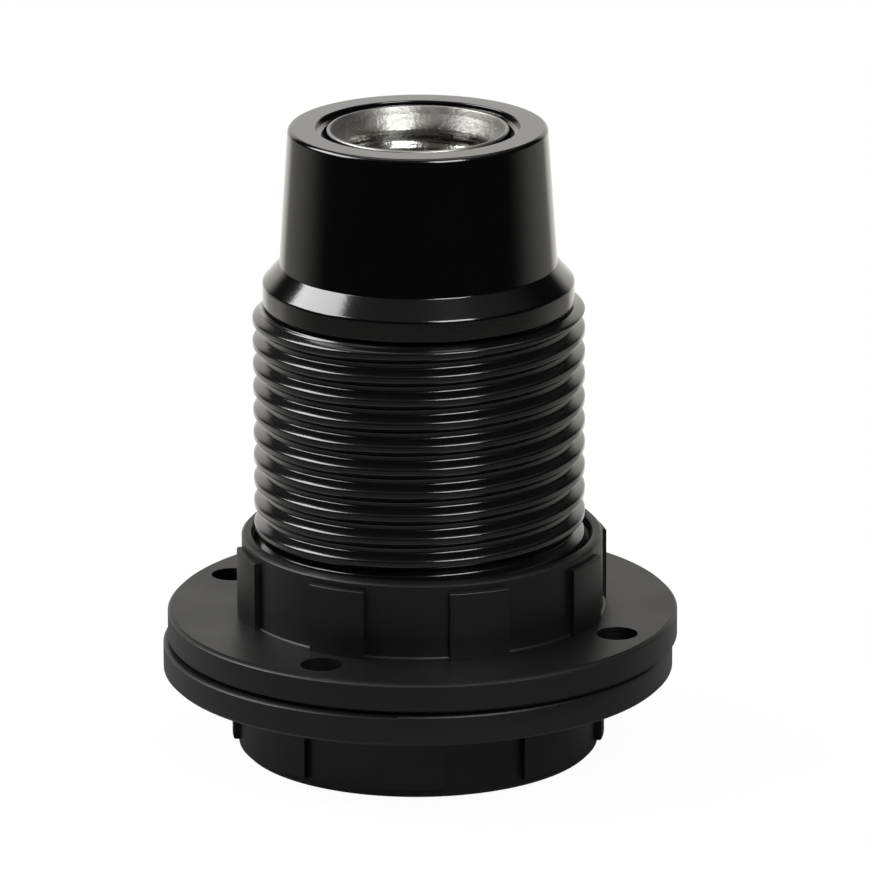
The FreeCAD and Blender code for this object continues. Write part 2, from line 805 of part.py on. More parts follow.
pieces = [make_barrel(), make_nose(), make_screw_shell(), make_contact_carrier(), make_centre_contact()]
pieces += make_rivets()
pieces += [
    make_terminal(
        "live_terminal", 1,
        ("live_ear_inner", "-terminal_width / 2"),
        ("terminal_outer - live_ear_inner", "terminal_width"),
    ),
    make_terminal(
        "neutral_terminal", -1,
        ("-neutral_ear_outer", "neutral_ear_low"),
        ("neutral_ear_outer - neutral_ear_inner", "neutral_ear_high - neutral_ear_low"),
    ),
    make_terminal_screw("live_terminal_screw", 1),
    make_terminal_screw("neutral_terminal_screw", -1),
    make_wire_guard("live_wire_guard", 1),
    make_wire_guard("neutral_wire_guard", -1),
    make_base_cap(),
    make_entry_bush(),
    make_lock_screw(),
    make_insulating_disc(),
]
pieces += make_shade_rings()
doc.recompute()

# Check every object, then write one file for each piece

for obj in doc.Objects:
    if "Invalid" in obj.State or "Error" in obj.State:
        raise RuntimeError(f"{obj.Name} failed: {obj.State}")
for piece in pieces:
    shape = piece.Shape
    if shape.isNull() or not shape.isValid() or len(shape.Solids) != 1:
        raise RuntimeError(f"{piece.Label} isn't one valid solid")

os.makedirs("parts", exist_ok=True)
for piece in pieces:
    piece.Shape.exportStep(f"parts/{piece.Label}.step")
    print(f"{piece.Label}: {piece.Shape.Volume:.1f} mm3, {len(piece.Shape.Faces)} faces")
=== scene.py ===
# %% [markdown]
# # A lamp holder with a threaded barrel
#
# This is a small screw-cap lamp holder: a glossy black nose with a bright metal screw shell in it, a barrel
# with a coarse thread, and two shade rings that screw along that thread. The solids come from the CAD model
# as a fixed frame. This notebook dresses them: it builds smooth pieces where gloss would show the CAD's
# facets, cuts the fine threads, gives every piece its finish, and sets up the camera and the studio light.

import math

import bmesh
import bpy
from mathutils import Matrix, Vector


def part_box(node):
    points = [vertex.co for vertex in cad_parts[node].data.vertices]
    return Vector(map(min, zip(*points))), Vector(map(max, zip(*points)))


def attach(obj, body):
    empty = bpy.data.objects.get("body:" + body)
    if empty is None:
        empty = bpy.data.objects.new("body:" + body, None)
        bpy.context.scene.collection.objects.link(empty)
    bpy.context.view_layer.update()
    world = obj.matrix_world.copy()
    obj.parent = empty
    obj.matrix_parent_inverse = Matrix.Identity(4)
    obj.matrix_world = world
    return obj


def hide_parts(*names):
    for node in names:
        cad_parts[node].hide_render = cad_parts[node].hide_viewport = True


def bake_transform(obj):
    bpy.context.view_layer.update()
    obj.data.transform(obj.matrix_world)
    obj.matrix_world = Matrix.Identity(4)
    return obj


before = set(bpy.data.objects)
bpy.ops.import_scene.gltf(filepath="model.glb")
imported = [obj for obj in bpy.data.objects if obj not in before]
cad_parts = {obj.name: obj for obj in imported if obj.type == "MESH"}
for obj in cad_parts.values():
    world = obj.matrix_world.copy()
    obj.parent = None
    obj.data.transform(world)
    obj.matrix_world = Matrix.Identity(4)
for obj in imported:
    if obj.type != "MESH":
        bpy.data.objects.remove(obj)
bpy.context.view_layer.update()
MM = 0.001

# %% [markdown]
# ## Camera
#
# The photograph was taken from far away through a long lens, a little above the object. A camera in Blender
# looks along its own -Z with its own +Y up, so its turn is a matrix of three directions: right, up and back.
# They are worked out from the pitch, yaw and roll that were fitted to the ellipses in the photograph.

# %% Camera
PHOTO_WIDTH = 870
FOCAL_LENGTH_PX = 8663.8
CAMERA_PLACE = Vector((0, -700.65, 239.23)) * MM
CAMERA_PITCH = 0.2934
CAMERA_YAW = 0.0019
CAMERA_ROLL = -0.0043


def camera_turn(pitch, yaw, roll):
    """The camera's rotation, for a pitch below the horizon and a yaw towards +X."""
    ahead = Vector((
        math.sin(yaw) * math.cos(pitch),
        math.cos(yaw) * math.cos(pitch),
        -math.sin(pitch),
    ))
    right = Vector((math.cos(yaw), -math.sin(yaw), 0))
    up = right.cross(ahead)
    rolled_right = math.cos(roll) * right + math.sin(roll) * up
    rolled_up = math.cos(roll) * up - math.sin(roll) * right
    return Matrix((rolled_right, rolled_up, -ahead)).transposed()


lens = bpy.data.cameras.new("photo_camera")
lens.sensor_width = 36
lens.lens = FOCAL_LENGTH_PX / PHOTO_WIDTH * lens.sensor_width
camera = bpy.data.objects.new("photo_camera", lens)
camera.matrix_world = Matrix.Translation(CAMERA_PLACE) @ camera_turn(
    CAMERA_PITCH, CAMERA_YAW, CAMERA_ROLL
).to_4x4()
bpy.context.scene.collection.objects.link(camera)
bpy.context.scene.camera = camera
bpy.context.scene.view_settings.view_transform = "Standard"
print(f"lens {lens.lens:.1f} mm")

# %% [markdown]
# ## Node helpers
#
# Materials and Geometry Nodes trees are built from the same few moves: add a node, set its plain values and
# plug sockets into it. One helper does that, so each tree below reads like a list of steps. A value that is a
# socket is linked, and any other value is written on the node's own input.


# %% Node helpers
def add_node(tree, kind, inputs=None, **settings):
    """A new node with its settings, and its inputs linked or set by name or number."""
    node = tree.nodes.new(kind)
    for name, setting in settings.items():
        setattr(node, name, setting)
    for key, given in (inputs or {}).items():
        if isinstance(given, bpy.types.NodeSocket):
            tree.links.new(given, node.inputs[key])
        else:
            node.inputs[key].default_value = given
    return node


def math_step(tree, operation, first, second=0.0):
    return add_node(tree, "ShaderNodeMath", {0: first, 1: second}, operation=operation).outputs[0]


def smooth_step(tree, value, low, high, at_low, at_high):
    """A value that runs smoothly from at_low to at_high as the given one goes from low to high."""
    inputs = {"Value": value, "From Min": low, "From Max": high, "To Min": at_low, "To Max": at_high}
    return add_node(tree, "ShaderNodeMapRange", inputs, interpolation_type="SMOOTHSTEP").outputs["Result"]


def new_tree(name, kind, inputs, outputs):
    """A node tree with named sockets, given as (name, socket type, default or None)."""
    tree = bpy.data.node_groups.new(name, kind)
    for direction, sockets in (("INPUT", inputs), ("OUTPUT", outputs)):
        for label, socket_type, default in sockets:
            socket = tree.interface.new_socket(label, in_out=direction, socket_type=socket_type)
            if default is not None:
                socket.default_value = default
    return tree, tree.nodes.new("NodeGroupInput").outputs, tree.nodes.new("NodeGroupOutput").inputs


def end_tree(tree, geometry, material, result):
    """The end of a geometry tree: all instances made real, and the material set."""
    real = add_node(tree, "GeometryNodeRealizeInstances", {0: geometry}).outputs[0]
    dressed = add_node(tree, "GeometryNodeSetMaterial", {"Geometry": real, "Material": material})
    tree.links.new(dressed.outputs[0], result["Geometry"])


def around_axis(tree, place):
    """A place's x, y and z, its distance from the Z axis and the direction away from that axis."""
    x, y, z = add_node(tree, "ShaderNodeSeparateXYZ", {0: place}).outputs
    level = add_node(tree, "ShaderNodeCombineXYZ", {0: x, 1: y}).outputs[0]
    radius = add_node(tree, "ShaderNodeVectorMath", {0: level}, operation="LENGTH").outputs["Value"]
    outward = add_node(tree, "ShaderNodeVectorMath", {0: level}, operation="NORMALIZE").outputs[0]
    return x, y, z, radius, outward


def along(tree, direction, distance):
    inputs = {0: direction, "Scale": distance}
    return add_node(tree, "ShaderNodeVectorMath", inputs, operation="SCALE").outputs[0]


# %% [markdown]
# ## Studio
#
# The photograph has a white background with hardly a shadow, a wide soft light on the left and a narrower one
# in front on the right: the thread shows them as two columns of bright strokes. What the gloss mirrors tells
# the rest. The flat top of the nose is light grey, so a bright backdrop stands low behind it. Its side walls
# turn grey only towards their edges, so the table behind is dimmer. The undersides of the thread's ridges are
# a dull grey that gets lighter on the left, which is the near table. The nose's front is almost black, so the
# side of the room with the camera is dark, and the metal's dull grey is a faint ceiling. A mirror sees all of
# these, and wherever the camera looks past the object the world is plain white.

# %% World
ROOM_LEVEL = 0.012
BACKDROP_LEVEL = 1.2
FAR_TABLE_LEVEL = 0.45
NEAR_TABLE_LEVELS = (0.26, 0.6)
LEFT_GLOW = 0.55
CEILING_LEVEL = 0.17
AMBIENT_LEVEL = 0.4
WARM_WHITE = (1.0, 0.98, 0.93, 1)
# where each of them starts and ends, as that part of a direction one unit long
BACKDROP_BEHIND = (0.72, 0.88)
BACKDROP_UP = (0.34, 0.5)
FAR_TABLE_BEHIND = (-0.15, 0.5)
FAR_TABLE_UP = (-0.05, 0.15)
GLOW_ACROSS = (-0.6, -0.35)
GLOW_BEHIND = (0.35, 0.55)
NEAR_TABLE_BEHIND = (-0.2, 0.55)
NEAR_TABLE_UP = (-0.3, -0.22)
CEILING_UP = (0.5, 0.85)


def studio_levels(tree, across, behind, up):
    """What a mirror sees in each direction: backdrop, far and near table, ceiling or the dark room."""
    backdrop = math_step(
        tree, "MULTIPLY",
        smooth_step(tree, behind, *BACKDROP_BEHIND, 0.0, BACKDROP_LEVEL),
        smooth_step(tree, up, *BACKDROP_UP, 1.0, 0.0),
    )
    far_table = math_step(
        tree, "MULTIPLY",
        smooth_step(tree, behind, *FAR_TABLE_BEHIND, ROOM_LEVEL, FAR_TABLE_LEVEL),
        smooth_step(tree, up, *FAR_TABLE_UP, 1.0, 0.0),
    )
    glow = math_step(
        tree, "MULTIPLY",
        smooth_step(tree, across, *GLOW_ACROSS, LEFT_GLOW, 0.0),
        smooth_step(tree, behind, *GLOW_BEHIND, 0.0, 1.0),
    )
    near_table = math_step(
        tree, "MULTIPLY",
        math_step(tree, "ADD", glow, smooth_step(tree, behind, *NEAR_TABLE_BEHIND, *NEAR_TABLE_LEVELS)),
        smooth_step(tree, up, *NEAR_TABLE_UP, 1.0, 0.0),
    )
    level = smooth_step(tree, up, *CEILING_UP, ROOM_LEVEL, CEILING_LEVEL)
    for part in (backdrop, far_table, near_table):
        level = math_step(tree, "MAXIMUM", level, part)
    return level


def make_world():
    """White to the camera, the studio to a mirror and an even dim light to all other rays."""
    world = bpy.data.worlds.new("studio")
    world.use_nodes = True
    tree = world.node_tree
    tree.nodes.clear()
    direction = add_node(tree, "ShaderNodeTexCoord").outputs["Generated"]
    mirrored = studio_levels(tree, *add_node(tree, "ShaderNodeSeparateXYZ", {0: direction}).outputs)
    rays = add_node(tree, "ShaderNodeLightPath").outputs
    mirror = math_step(tree, "MAXIMUM", rays["Is Glossy Ray"], rays["Is Transmission Ray"])
    seen = add_node(tree, "ShaderNodeMix", {0: mirror, 2: AMBIENT_LEVEL, 3: mirrored}).outputs[0]
    level = math_step(tree, "MAXIMUM", seen, rays["Is Camera Ray"])
    tint = add_node(tree, "ShaderNodeMix", data_type="RGBA")
    tree.links.new(rays["Is Camera Ray"], tint.inputs["Factor"])
    tint.inputs["A"].default_value = WARM_WHITE
    tint.inputs["B"].default_value = (1, 1, 1, 1)
    shader = add_node(tree, "ShaderNodeBackground", {"Color": tint.outputs["Result"], "Strength": level})
    output = tree.nodes.new("ShaderNodeOutputWorld")
    tree.links.new(shader.outputs[0], output.inputs[0])
    return world


bpy.context.scene.world = make_world()

# %% [markdown]
# The light that falls on the object comes from three area lights, which are what a photographer's softboxes
# are. Each is placed by its angles round the object and turned to face the middle of the barrel.

# %% Softboxes
LIGHT_AIM = Vector((0, 0, 35)) * MM


def softbox(name, azimuth, elevation, distance, width, height, watts):
    """A rectangular light. Azimuth 0 is the camera's side and +90 is the right, in degrees."""
    light = bpy.data.lights.new(name, "AREA")
    light.shape = "RECTANGLE"
    light.size = width
    light.size_y = height
    light.energy = watts
    lamp = bpy.data.objects.new(name, light)
    turn, rise = math.radians(azimuth), math.radians(elevation)
    toward = Vector((
        math.sin(turn) * math.cos(rise),
        -math.cos(turn) * math.cos(rise),
        math.sin(rise),
    ))
    lamp.location = LIGHT_AIM + toward * distance
    lamp.rotation_euler = toward.to_track_quat("Z", "Y").to_euler()
    lamp.visible_camera = False
    bpy.context.scene.collection.objects.link(lamp)


softbox("left_softbox", azimuth=-95, elevation=40, distance=0.65, width=0.52, height=0.30, watts=4.9)
softbox("front_softbox", azimuth=30, elevation=42, distance=0.65, width=0.28, height=0.36, watts=3.5)
softbox("top_softbox", azimuth=180, elevation=72, distance=0.80, width=0.70, height=0.40, watts=1)

# %% [markdown]
# The floor is a disc just large enough for the object's own shadow. To the camera it is mostly a plain white,
# with a small share of pale paper mixed in, so that a faint shadow stays. The black rings stand close above
# it and mirror no bright table, so to every other ray the disc is a plain grey. It lies a hair below the
# object, because two faces in one plane would flicker, and it is clear from below, so that the base can be
# looked at.

# %% Floor
FLOOR_RADIUS = 70.0
FLOOR_SIDES = 96
FLOOR_DROP = 0.02
FLOOR_SHADING = 0.04
FLOOR_PALE = (0.9, 0.9, 0.9, 1)
FLOOR_GREY = (0.24, 0.24, 0.24, 1)


def make_floor():
    mesh = bpy.data.meshes.new("floor")
    shape = bmesh.new()
    drop = Matrix.Translation((0, 0, -FLOOR_DROP * MM))
    bmesh.ops.create_circle(
        shape, cap_ends=True, radius=FLOOR_RADIUS * MM, segments=FLOOR_SIDES, matrix=drop
    )
    shape.to_mesh(mesh)
    shape.free()
    floor = bpy.data.objects.new("floor", mesh)
    bpy.context.scene.collection.objects.link(floor)
    material = bpy.data.materials.new("floor_paper")
    material.use_nodes = True
    tree = material.node_tree
    tree.nodes.clear()
    pale = add_node(tree, "ShaderNodeBsdfDiffuse", {"Color": FLOOR_PALE}).outputs[0]
    grey = add_node(tree, "ShaderNodeBsdfDiffuse", {"Color": FLOOR_GREY}).outputs[0]
    white = add_node(tree, "ShaderNodeEmission", {"Color": (1, 1, 1, 1), "Strength": 1.0}).outputs[0]
    camera_sees = add_node(tree, "ShaderNodeLightPath").outputs["Is Camera Ray"]
    seen = add_node(tree, "ShaderNodeMixShader", {0: FLOOR_SHADING, 1: white, 2: pale}).outputs[0]
    paper = add_node(tree, "ShaderNodeMixShader", {0: camera_sees, 1: grey, 2: seen}).outputs[0]
    from_below = add_node(tree, "ShaderNodeNewGeometry").outputs["Backfacing"]
    clear = add_node(tree, "ShaderNodeBsdfTransparent").outputs[0]
    mix = add_node(tree, "ShaderNodeMixShader", {0: from_below, 1: paper, 2: clear}).outputs[0]
    output = tree.nodes.new("ShaderNodeOutputMaterial")
    tree.links.new(mix, output.inputs[0])
    mesh.materials.append(material)


make_floor()

# %% [markdown]
# ## Finishes
#
# No real surface has one flat colour or one even gloss. Moulded phenolic has a faint orange peel and cloudy
# gloss, handling leaves dull specks, and plated sheet metal is never quite flat. These share one effect, so
# it is one node group: two sizes of noise in Object coordinates drive a colour change, a roughness change and
# a height. Each finish then places the group with its own values and keeps its Principled shader to itself.

# %% Surface group
CLOUD_DETAIL = 3.0
GRAIN_DETAIL = 4.0
SPECK_LEVELS = (0.62, 0.74)


def make_surface_group():
    inputs = [
        ("Color", "NodeSocketColor", (0.5, 0.5, 0.5, 1)),
        ("Mark Color", "NodeSocketColor", (0.5, 0.5, 0.5, 1)),
        ("Roughness", "NodeSocketFloat", 0.3),
        ("Roughness Change", "NodeSocketFloat", 0.05),
        ("Cloud Size", "NodeSocketFloat", 4.0),
        ("Grain Size", "NodeSocketFloat", 0.3),
        ("Marks", "NodeSocketFloat", 0.1),
    ]
    outputs = [
        ("Color", "NodeSocketColor", None),
        ("Roughness", "NodeSocketFloat", None),
        ("Height", "NodeSocketFloat", None),
    ]
    tree, given, result = new_tree("worn_surface", "ShaderNodeTree", inputs, outputs)
    place = add_node(tree, "ShaderNodeTexCoord").outputs["Object"]
    cloud_scale = math_step(tree, "DIVIDE", 1 / MM, given["Cloud Size"])
    grain_scale = math_step(tree, "DIVIDE", 1 / MM, given["Grain Size"])
    inputs = {"Vector": place, "Scale": cloud_scale, "Detail": CLOUD_DETAIL}
    cloud = add_node(tree, "ShaderNodeTexNoise", inputs)
    inputs = {"Vector": place, "Scale": grain_scale, "Detail": GRAIN_DETAIL}
    grain = add_node(tree, "ShaderNodeTexNoise", inputs)
    specks = smooth_step(tree, grain.outputs[0], *SPECK_LEVELS, 0.0, 1.0)
    marks = math_step(tree, "MULTIPLY", specks, given["Marks"])
    colour = add_node(tree, "ShaderNodeMix", data_type="RGBA")
    tree.links.new(marks, colour.inputs["Factor"])
    tree.links.new(given["Color"], colour.inputs["A"])
    tree.links.new(given["Mark Color"], colour.inputs["B"])
    drift = math_step(tree, "SUBTRACT", cloud.outputs[0], 0.5)
    change = math_step(tree, "MULTIPLY", drift, given["Roughness Change"])
    dulled = math_step(tree, "MULTIPLY", marks, given["Roughness Change"])
    roughness = math_step(tree, "ADD", math_step(tree, "ADD", given["Roughness"], change), dulled)
    tree.links.new(colour.outputs["Result"], result["Color"])
    tree.links.new(roughness, result["Roughness"])
    tree.links.new(grain.outputs[0], result["Height"])
    return tree


surface_group = make_surface_group()


# %% Finish helper
def new_finish(name, surface, bump_height, **shader_values):
    """A material whose Principled shader takes its colour, roughness and bump from the surface group."""
    material = bpy.data.materials.new(name)
    material.use_nodes = True
    tree = material.node_tree
    shader = tree.nodes["Principled BSDF"]
    group = add_node(tree, "ShaderNodeGroup", node_tree=surface_group)
    for key, given in surface.items():
        group.inputs[key].default_value = given
    bump = add_node(tree, "ShaderNodeBump", {"Height": group.outputs["Height"], "Distance": bump_height * MM})
    tree.links.new(group.outputs["Color"], shader.inputs["Base Color"])
    tree.links.new(group.outputs["Roughness"], shader.inputs["Roughness"])
    tree.links.new(bump.outputs["Normal"], shader.inputs["Normal"])
    for key, given in shader_values.items():
        shader.inputs[key.replace("_", " ")].default_value = given
    return material


# %% [markdown]
# The nose and the barrel are polished black phenolic. It is almost black with a clear gloss, so what the eye
# reads is the reflected light: a low roughness and a very slight waviness keep its strokes crisp but alive.
# Rings have worked their way along the barrel's thread, so it is a little duller and greyer than the nose.

# %% Gloss black phenolic
GLOSS_SURFACE = {
    "Color": (0.0012, 0.0012, 0.0013, 1),
    "Mark Color": (0.008, 0.008, 0.008, 1),
    "Roughness": 0.13,
    "Roughness Change": 0.08,
    "Cloud Size": 5.0,
    "Grain Size": 0.35,
    "Marks": 0.2,
}
RUBBED_SURFACE = {**GLOSS_SURFACE, "Color": (0.0026, 0.0026, 0.0027, 1), "Roughness": 0.17}
gloss_black = new_finish("gloss_black_phenolic", GLOSS_SURFACE, bump_height=0.004, IOR=1.58)
rubbed_black = new_finish("rubbed_black_phenolic", RUBBED_SURFACE, bump_height=0.004, IOR=1.58)

# %% [markdown]
# The shade rings come from another mould with a finer, matt grain. They look dark grey next to the nose, and
# their rounded edges catch a soft light.

# %% Matt black moulding
matt_black = new_finish(
    "matt_black_moulding",
    {
        "Color": (0.002, 0.002, 0.0021, 1),
        "Mark Color": (0.012, 0.012, 0.012, 1),
        "Roughness": 0.44,
        "Roughness Change": 0.14,
        "Cloud Size": 7.0,
        "Grain Size": 0.22,
        "Marks": 0.2,
    },
    bump_height=0.008,
    IOR=1.45,
)

# %% [markdown]
# The screw shell is drawn from thin sheet and plated bright. Drawing leaves a wavy skin, so its mirror image
# of the studio breaks up into patches.

# %% Bright plate
bright_plate = new_finish(
    "bright_nickel_plate",
    {
        "Mark Color": (0.6, 0.59, 0.56, 1),
        "Roughness Change": 0.25,
        "Cloud Size": 1.0,
        "Grain Size": 0.4,
        "Marks": 0.5,
    },
    bump_height=0.03,
    Metallic=1.0,
)
MOUTH_DEPTH = 2.3
MOUTH_FADE = 1.1
MOUTH_COLOUR = (0.35, 0.34, 0.32, 1)
MOUTH_ROUGHNESS = 0.42
# the plate's colour deeper in the shell is darker: painted shade inside the mouth
SHADED_INNER_COLOUR = (0.3, 0.295, 0.28, 1)
INNER_ROUGHNESS = 0.2


def wear_and_shade_mouth(material, top):
    """Handling dulls the plate in the mouth; deeper down it is smoother and painted darker as shade."""
    tree = material.node_tree
    group = next(node for node in tree.nodes if node.type == "GROUP")
    height = add_node(tree, "ShaderNodeSeparateXYZ", {
        0: add_node(tree, "ShaderNodeTexCoord").outputs["Object"],
    }).outputs["Z"]
    foot = top - MOUTH_DEPTH * MM
    edge = foot + MOUTH_FADE * MM
    dulled = smooth_step(tree, height, foot, edge, INNER_ROUGHNESS, MOUTH_ROUGHNESS)
    tree.links.new(dulled, group.inputs["Roughness"])
    # painted shade: the colour darkens from the mouth down into the shell
    colour = add_node(tree, "ShaderNodeMix", data_type="RGBA")
    tree.links.new(smooth_step(tree, height, foot, edge, 0.0, 1.0), colour.inputs["Factor"])
    colour.inputs["A"].default_value = SHADED_INNER_COLOUR
    colour.inputs["B"].default_value = MOUTH_COLOUR
    tree.links.new(colour.outputs["Result"], group.inputs["Color"])


wear_and_shade_mouth(bright_plate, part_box("screw_shell")[1].z)

# %% [markdown]
# Inside sit the working metals: spring bronze for the tongue, brass for the terminals, plated brass for the
# rivets and zinc-plated steel for the screws and the entry bush. Each has its own tint, gloss and grain.

# %% Working metals
spring_bronze = new_finish(
    "spring_bronze",
    {
        "Color": (0.62, 0.37, 0.17, 1),
        "Mark Color": (0.3, 0.16, 0.08, 1),
        "Roughness": 0.28,
        "Roughness Change": 0.15,
        "Cloud Size": 1.5,
        "Grain Size": 0.25,
        "Marks": 0.4,
    },
    bump_height=0.01,
    Metallic=1.0,
)
machined_brass = new_finish(
    "machined_brass",
    {
        "Color": (0.68, 0.47, 0.19, 1),
        "Mark Color": (0.4, 0.25, 0.1, 1),
        "Roughness": 0.26,
        "Roughness Change": 0.12,
        "Cloud Size": 2.0,
        "Grain Size": 0.3,
        "Marks": 0.35,
    },
    bump_height=0.01,
    Metallic=1.0,
)
rivet_plate = new_finish(
    "plated_rivet_brass",
    {
        "Color": (0.7, 0.67, 0.6, 1),
        "Mark Color": (0.45, 0.38, 0.28, 1),
        "Roughness": 0.3,
        "Roughness Change": 0.15,
        "Cloud Size": 1.0,
        "Grain Size": 0.2,
        "Marks": 0.4,
    },
    bump_height=0.01,
    Metallic=1.0,
)
zinc_steel = new_finish(
    "zinc_plated_steel",
    {
        "Color": (0.55, 0.57, 0.6, 1),
        "Mark Color": (0.38, 0.38, 0.36, 1),
        "Roughness": 0.32,
        "Roughness Change": 0.16,
        "Cloud Size": 3.0,
        "Grain Size": 0.3,
        "Marks": 0.5,
    },
    bump_height=0.008,
    Metallic=1.0,
)

# %% [markdown]
# Two insulators complete the set: the carrier is moulded phenolic like the barrel but unpolished, and the
# disc over the metal bush is red-brown vulcanised fibre, which is pressed paper and looks slightly mottled.

# %% Insulators
raw_phenolic = new_finish(
    "raw_black_phenolic",
    {
        "Color": (0.012, 0.011, 0.011, 1),
        "Mark Color": (0.05, 0.045, 0.04, 1),
        "Roughness": 0.4,
        "Roughness Change": 0.15,
        "Cloud Size": 3.0,
        "Grain Size": 0.2,
        "Marks": 0.3,
    },
    bump_height=0.01,
    IOR=1.5,
)
red_fibre = new_finish(
    "red_vulcanised_fibre",
    {
        "Color": (0.24, 0.055, 0.03, 1),
        "Mark Color": (0.36, 0.13, 0.08, 1),
        "Roughness": 0.55,
        "Roughness Change": 0.15,
        "Cloud Size": 1.6,
        "Grain Size": 0.18,
        "Marks": 0.6,
    },
    bump_height=0.015,
)

# %% [markdown]
# ## Turned pieces
#
# Most of this holder is round, so most pieces are an outline turned once about Z. An outline is a short list
# of corners (radius, height, rounding) in millimetres, in order round the section. Rounding a corner in the
# outline gives every rim a true small radius, and such rims are what catches the light on black plastic.

# %% Turned pieces
ROUNDING_STEPS = 5
SEGMENTS = 160
UPRIGHT_LEAN = 0.2


def softened(corners):
    """The outline's points, with each corner that has a rounding replaced by an arc."""
    points = []
    count = len(corners)
    for place, (radius, height, rounding) in enumerate(corners):
        corner = Vector((radius, height))
        if not rounding:
            points.append(corner)
            continue
        back = (Vector(corners[place - 1][:2]) - corner).normalized()
        ahead = (Vector(corners[(place + 1) % count][:2]) - corner).normalized()
        half = back.angle(ahead) / 2
        centre = corner + (back + ahead).normalized() * (rounding / math.sin(half))
        first = corner + back * (rounding / math.tan(half)) - centre
        last = corner + ahead * (rounding / math.tan(half)) - centre
        for step in range(ROUNDING_STEPS + 1):
            spoke = first.lerp(last, step / ROUNDING_STEPS)
            points.append(centre + spoke.normalized() * rounding)
    return points


def with_rows(points, low, high, spacing, nearest=0, furthest=100):
    """The outline with extra points on its upright walls between these heights and radii, for a thread."""
    dense = []
    for place, point in enumerate(points):
        dense.append(point)
        after = points[(place + 1) % len(points)]
        run = after - point
        middle = (point + after) / 2
        inside = low <= middle.y <= high and nearest <= middle.x <= furthest
        if inside and abs(run.y) > spacing and abs(run.x) < UPRIGHT_LEAN * abs(run.y):
            steps = math.ceil(run.length / spacing)
            dense += [point + run * (step / steps) for step in range(1, steps)]
    return dense


def turned_mesh(name, points, segments=SEGMENTS):
    """A closed mesh: the outline turned once about Z."""
    count = len(points)
    corners = []
    for turn in range(segments):
        angle = 2 * math.pi * turn / segments
        across, along = math.cos(angle), math.sin(angle)
        corners += [(p.x * MM * across, p.x * MM * along, p.y * MM) for p in points]
    faces = []
    for turn in range(segments):
        here, there = turn * count, (turn + 1) % segments * count
        for place in range(count):
            after = (place + 1) % count
            faces.append((here + place, there + place, there + after, here + after))
    mesh = bpy.data.meshes.new(name)
    mesh.from_pydata(corners, [], faces)
    shape = bmesh.new()
    shape.from_mesh(mesh)
    bmesh.ops.recalc_face_normals(shape, faces=shape.faces)
    shape.to_mesh(mesh)
    shape.free()
    mesh.shade_smooth()
    return mesh


# %% [markdown]
# A finished piece is an object at the origin with its place in its mesh. Some modifiers are made plain mesh
# at once. Others, such as a soft edge with even shading, are the same for new pieces and for CAD solids.

# %% Piece helpers
SHARP_ANGLE = math.radians(50)
EDGE_STEPS = 2
FULL_WEIGHT = 100


def new_piece(name, mesh, material):
    piece = bpy.data.objects.new(name, mesh)
    bpy.context.scene.collection.objects.link(piece)
    if material:
        mesh.materials.append(material)
    return piece


def baked(piece):
    """The piece with its modifiers made plain mesh."""
    evaluated = piece.evaluated_get(bpy.context.evaluated_depsgraph_get())
    mesh = bpy.data.meshes.new_from_object(evaluated)
    piece.modifiers.clear()
    piece.data = mesh
    mesh.name = piece.name
    return piece


def soft_edge(piece, width):
    """Bevel the sharp edges by a width in millimetres."""
    modifier = piece.modifiers.new("soft_edge", "BEVEL")
    modifier.width = width * MM
    modifier.segments = EDGE_STEPS
    modifier.limit_method = "ANGLE"
    modifier.angle_limit = SHARP_ANGLE


def even_shading(piece):
    """Keep the shading of flat faces flat right up to their rounded rims."""
    modifier = piece.modifiers.new("even_shading", "WEIGHTED_NORMAL")
    modifier.weight = FULL_WEIGHT
    modifier.keep_sharp = True


def install(piece, slot, body, *nodes):
    """The piece takes the nodes' place and moves with the body. The slot is not used."""
    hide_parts(*nodes)
    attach(piece, body)
    print(f"{piece.name}: {len(piece.data.polygons)} faces, in place of {', '.join(nodes)}")


# %% [markdown]
# ## Nose
#
# The nose is the visible upper shell: a low flange, a chamfer, a slightly conical body and a flat top with a
# shallow ring-shaped recess for the metal lip. It is one moulding, and all of it is an outline.

# %% Nose
nose_low, nose_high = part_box("nose")
barrel_low, barrel_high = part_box("threaded_barrel")
FLANGE_GAP = 0.3
NOSE_TOP = nose_high.z / MM
NOSE_FOOT = barrel_high.z / MM + FLANGE_GAP
NOSE_SPIGOT_END = nose_low.z / MM
NOSE_FLANGE = nose_high.x / MM
NOSE_RIM = 10.9
CONE_FOOT = 11.68
CONE_FOOT_RISE = 3.4
CHAMFER_FOOT_RISE = 1.8
THROAT = 7.45
SPIGOT = 11.8
SPIGOT_BORE = 9.6
RECESS = 8.56
RECESS_DEPTH = 0.4
THROAT_LENGTH = 10.0


def make_nose():
    recess_floor = NOSE_TOP - RECESS_DEPTH
    throat_end = recess_floor - THROAT_LENGTH
    outline = softened([
        (THROAT, recess_floor, 0),
        (RECESS, recess_floor, 0.05),
        (RECESS, NOSE_TOP, 0.12),
        (NOSE_RIM, NOSE_TOP, 0.38),
        (CONE_FOOT, NOSE_FOOT + CONE_FOOT_RISE, 0.2),
        (NOSE_FLANGE, NOSE_FOOT + CHAMFER_FOOT_RISE, 0.4),
        (NOSE_FLANGE, NOSE_FOOT, 0.15),
        (SPIGOT, NOSE_FOOT, 0),
        (SPIGOT, NOSE_SPIGOT_END, 0.2),
        (SPIGOT_BORE, NOSE_SPIGOT_END, 0.2),
        (SPIGOT_BORE, throat_end - SPIGOT_BORE + THROAT, 0.3),
        (THROAT, throat_end, 0.3),
    ])
    piece = new_piece("nose_moulding", turned_mesh("nose_moulding", outline), gloss_black)
    even_shading(piece)
    install(baked(piece), "gloss_black", "holder", "nose")


make_nose()

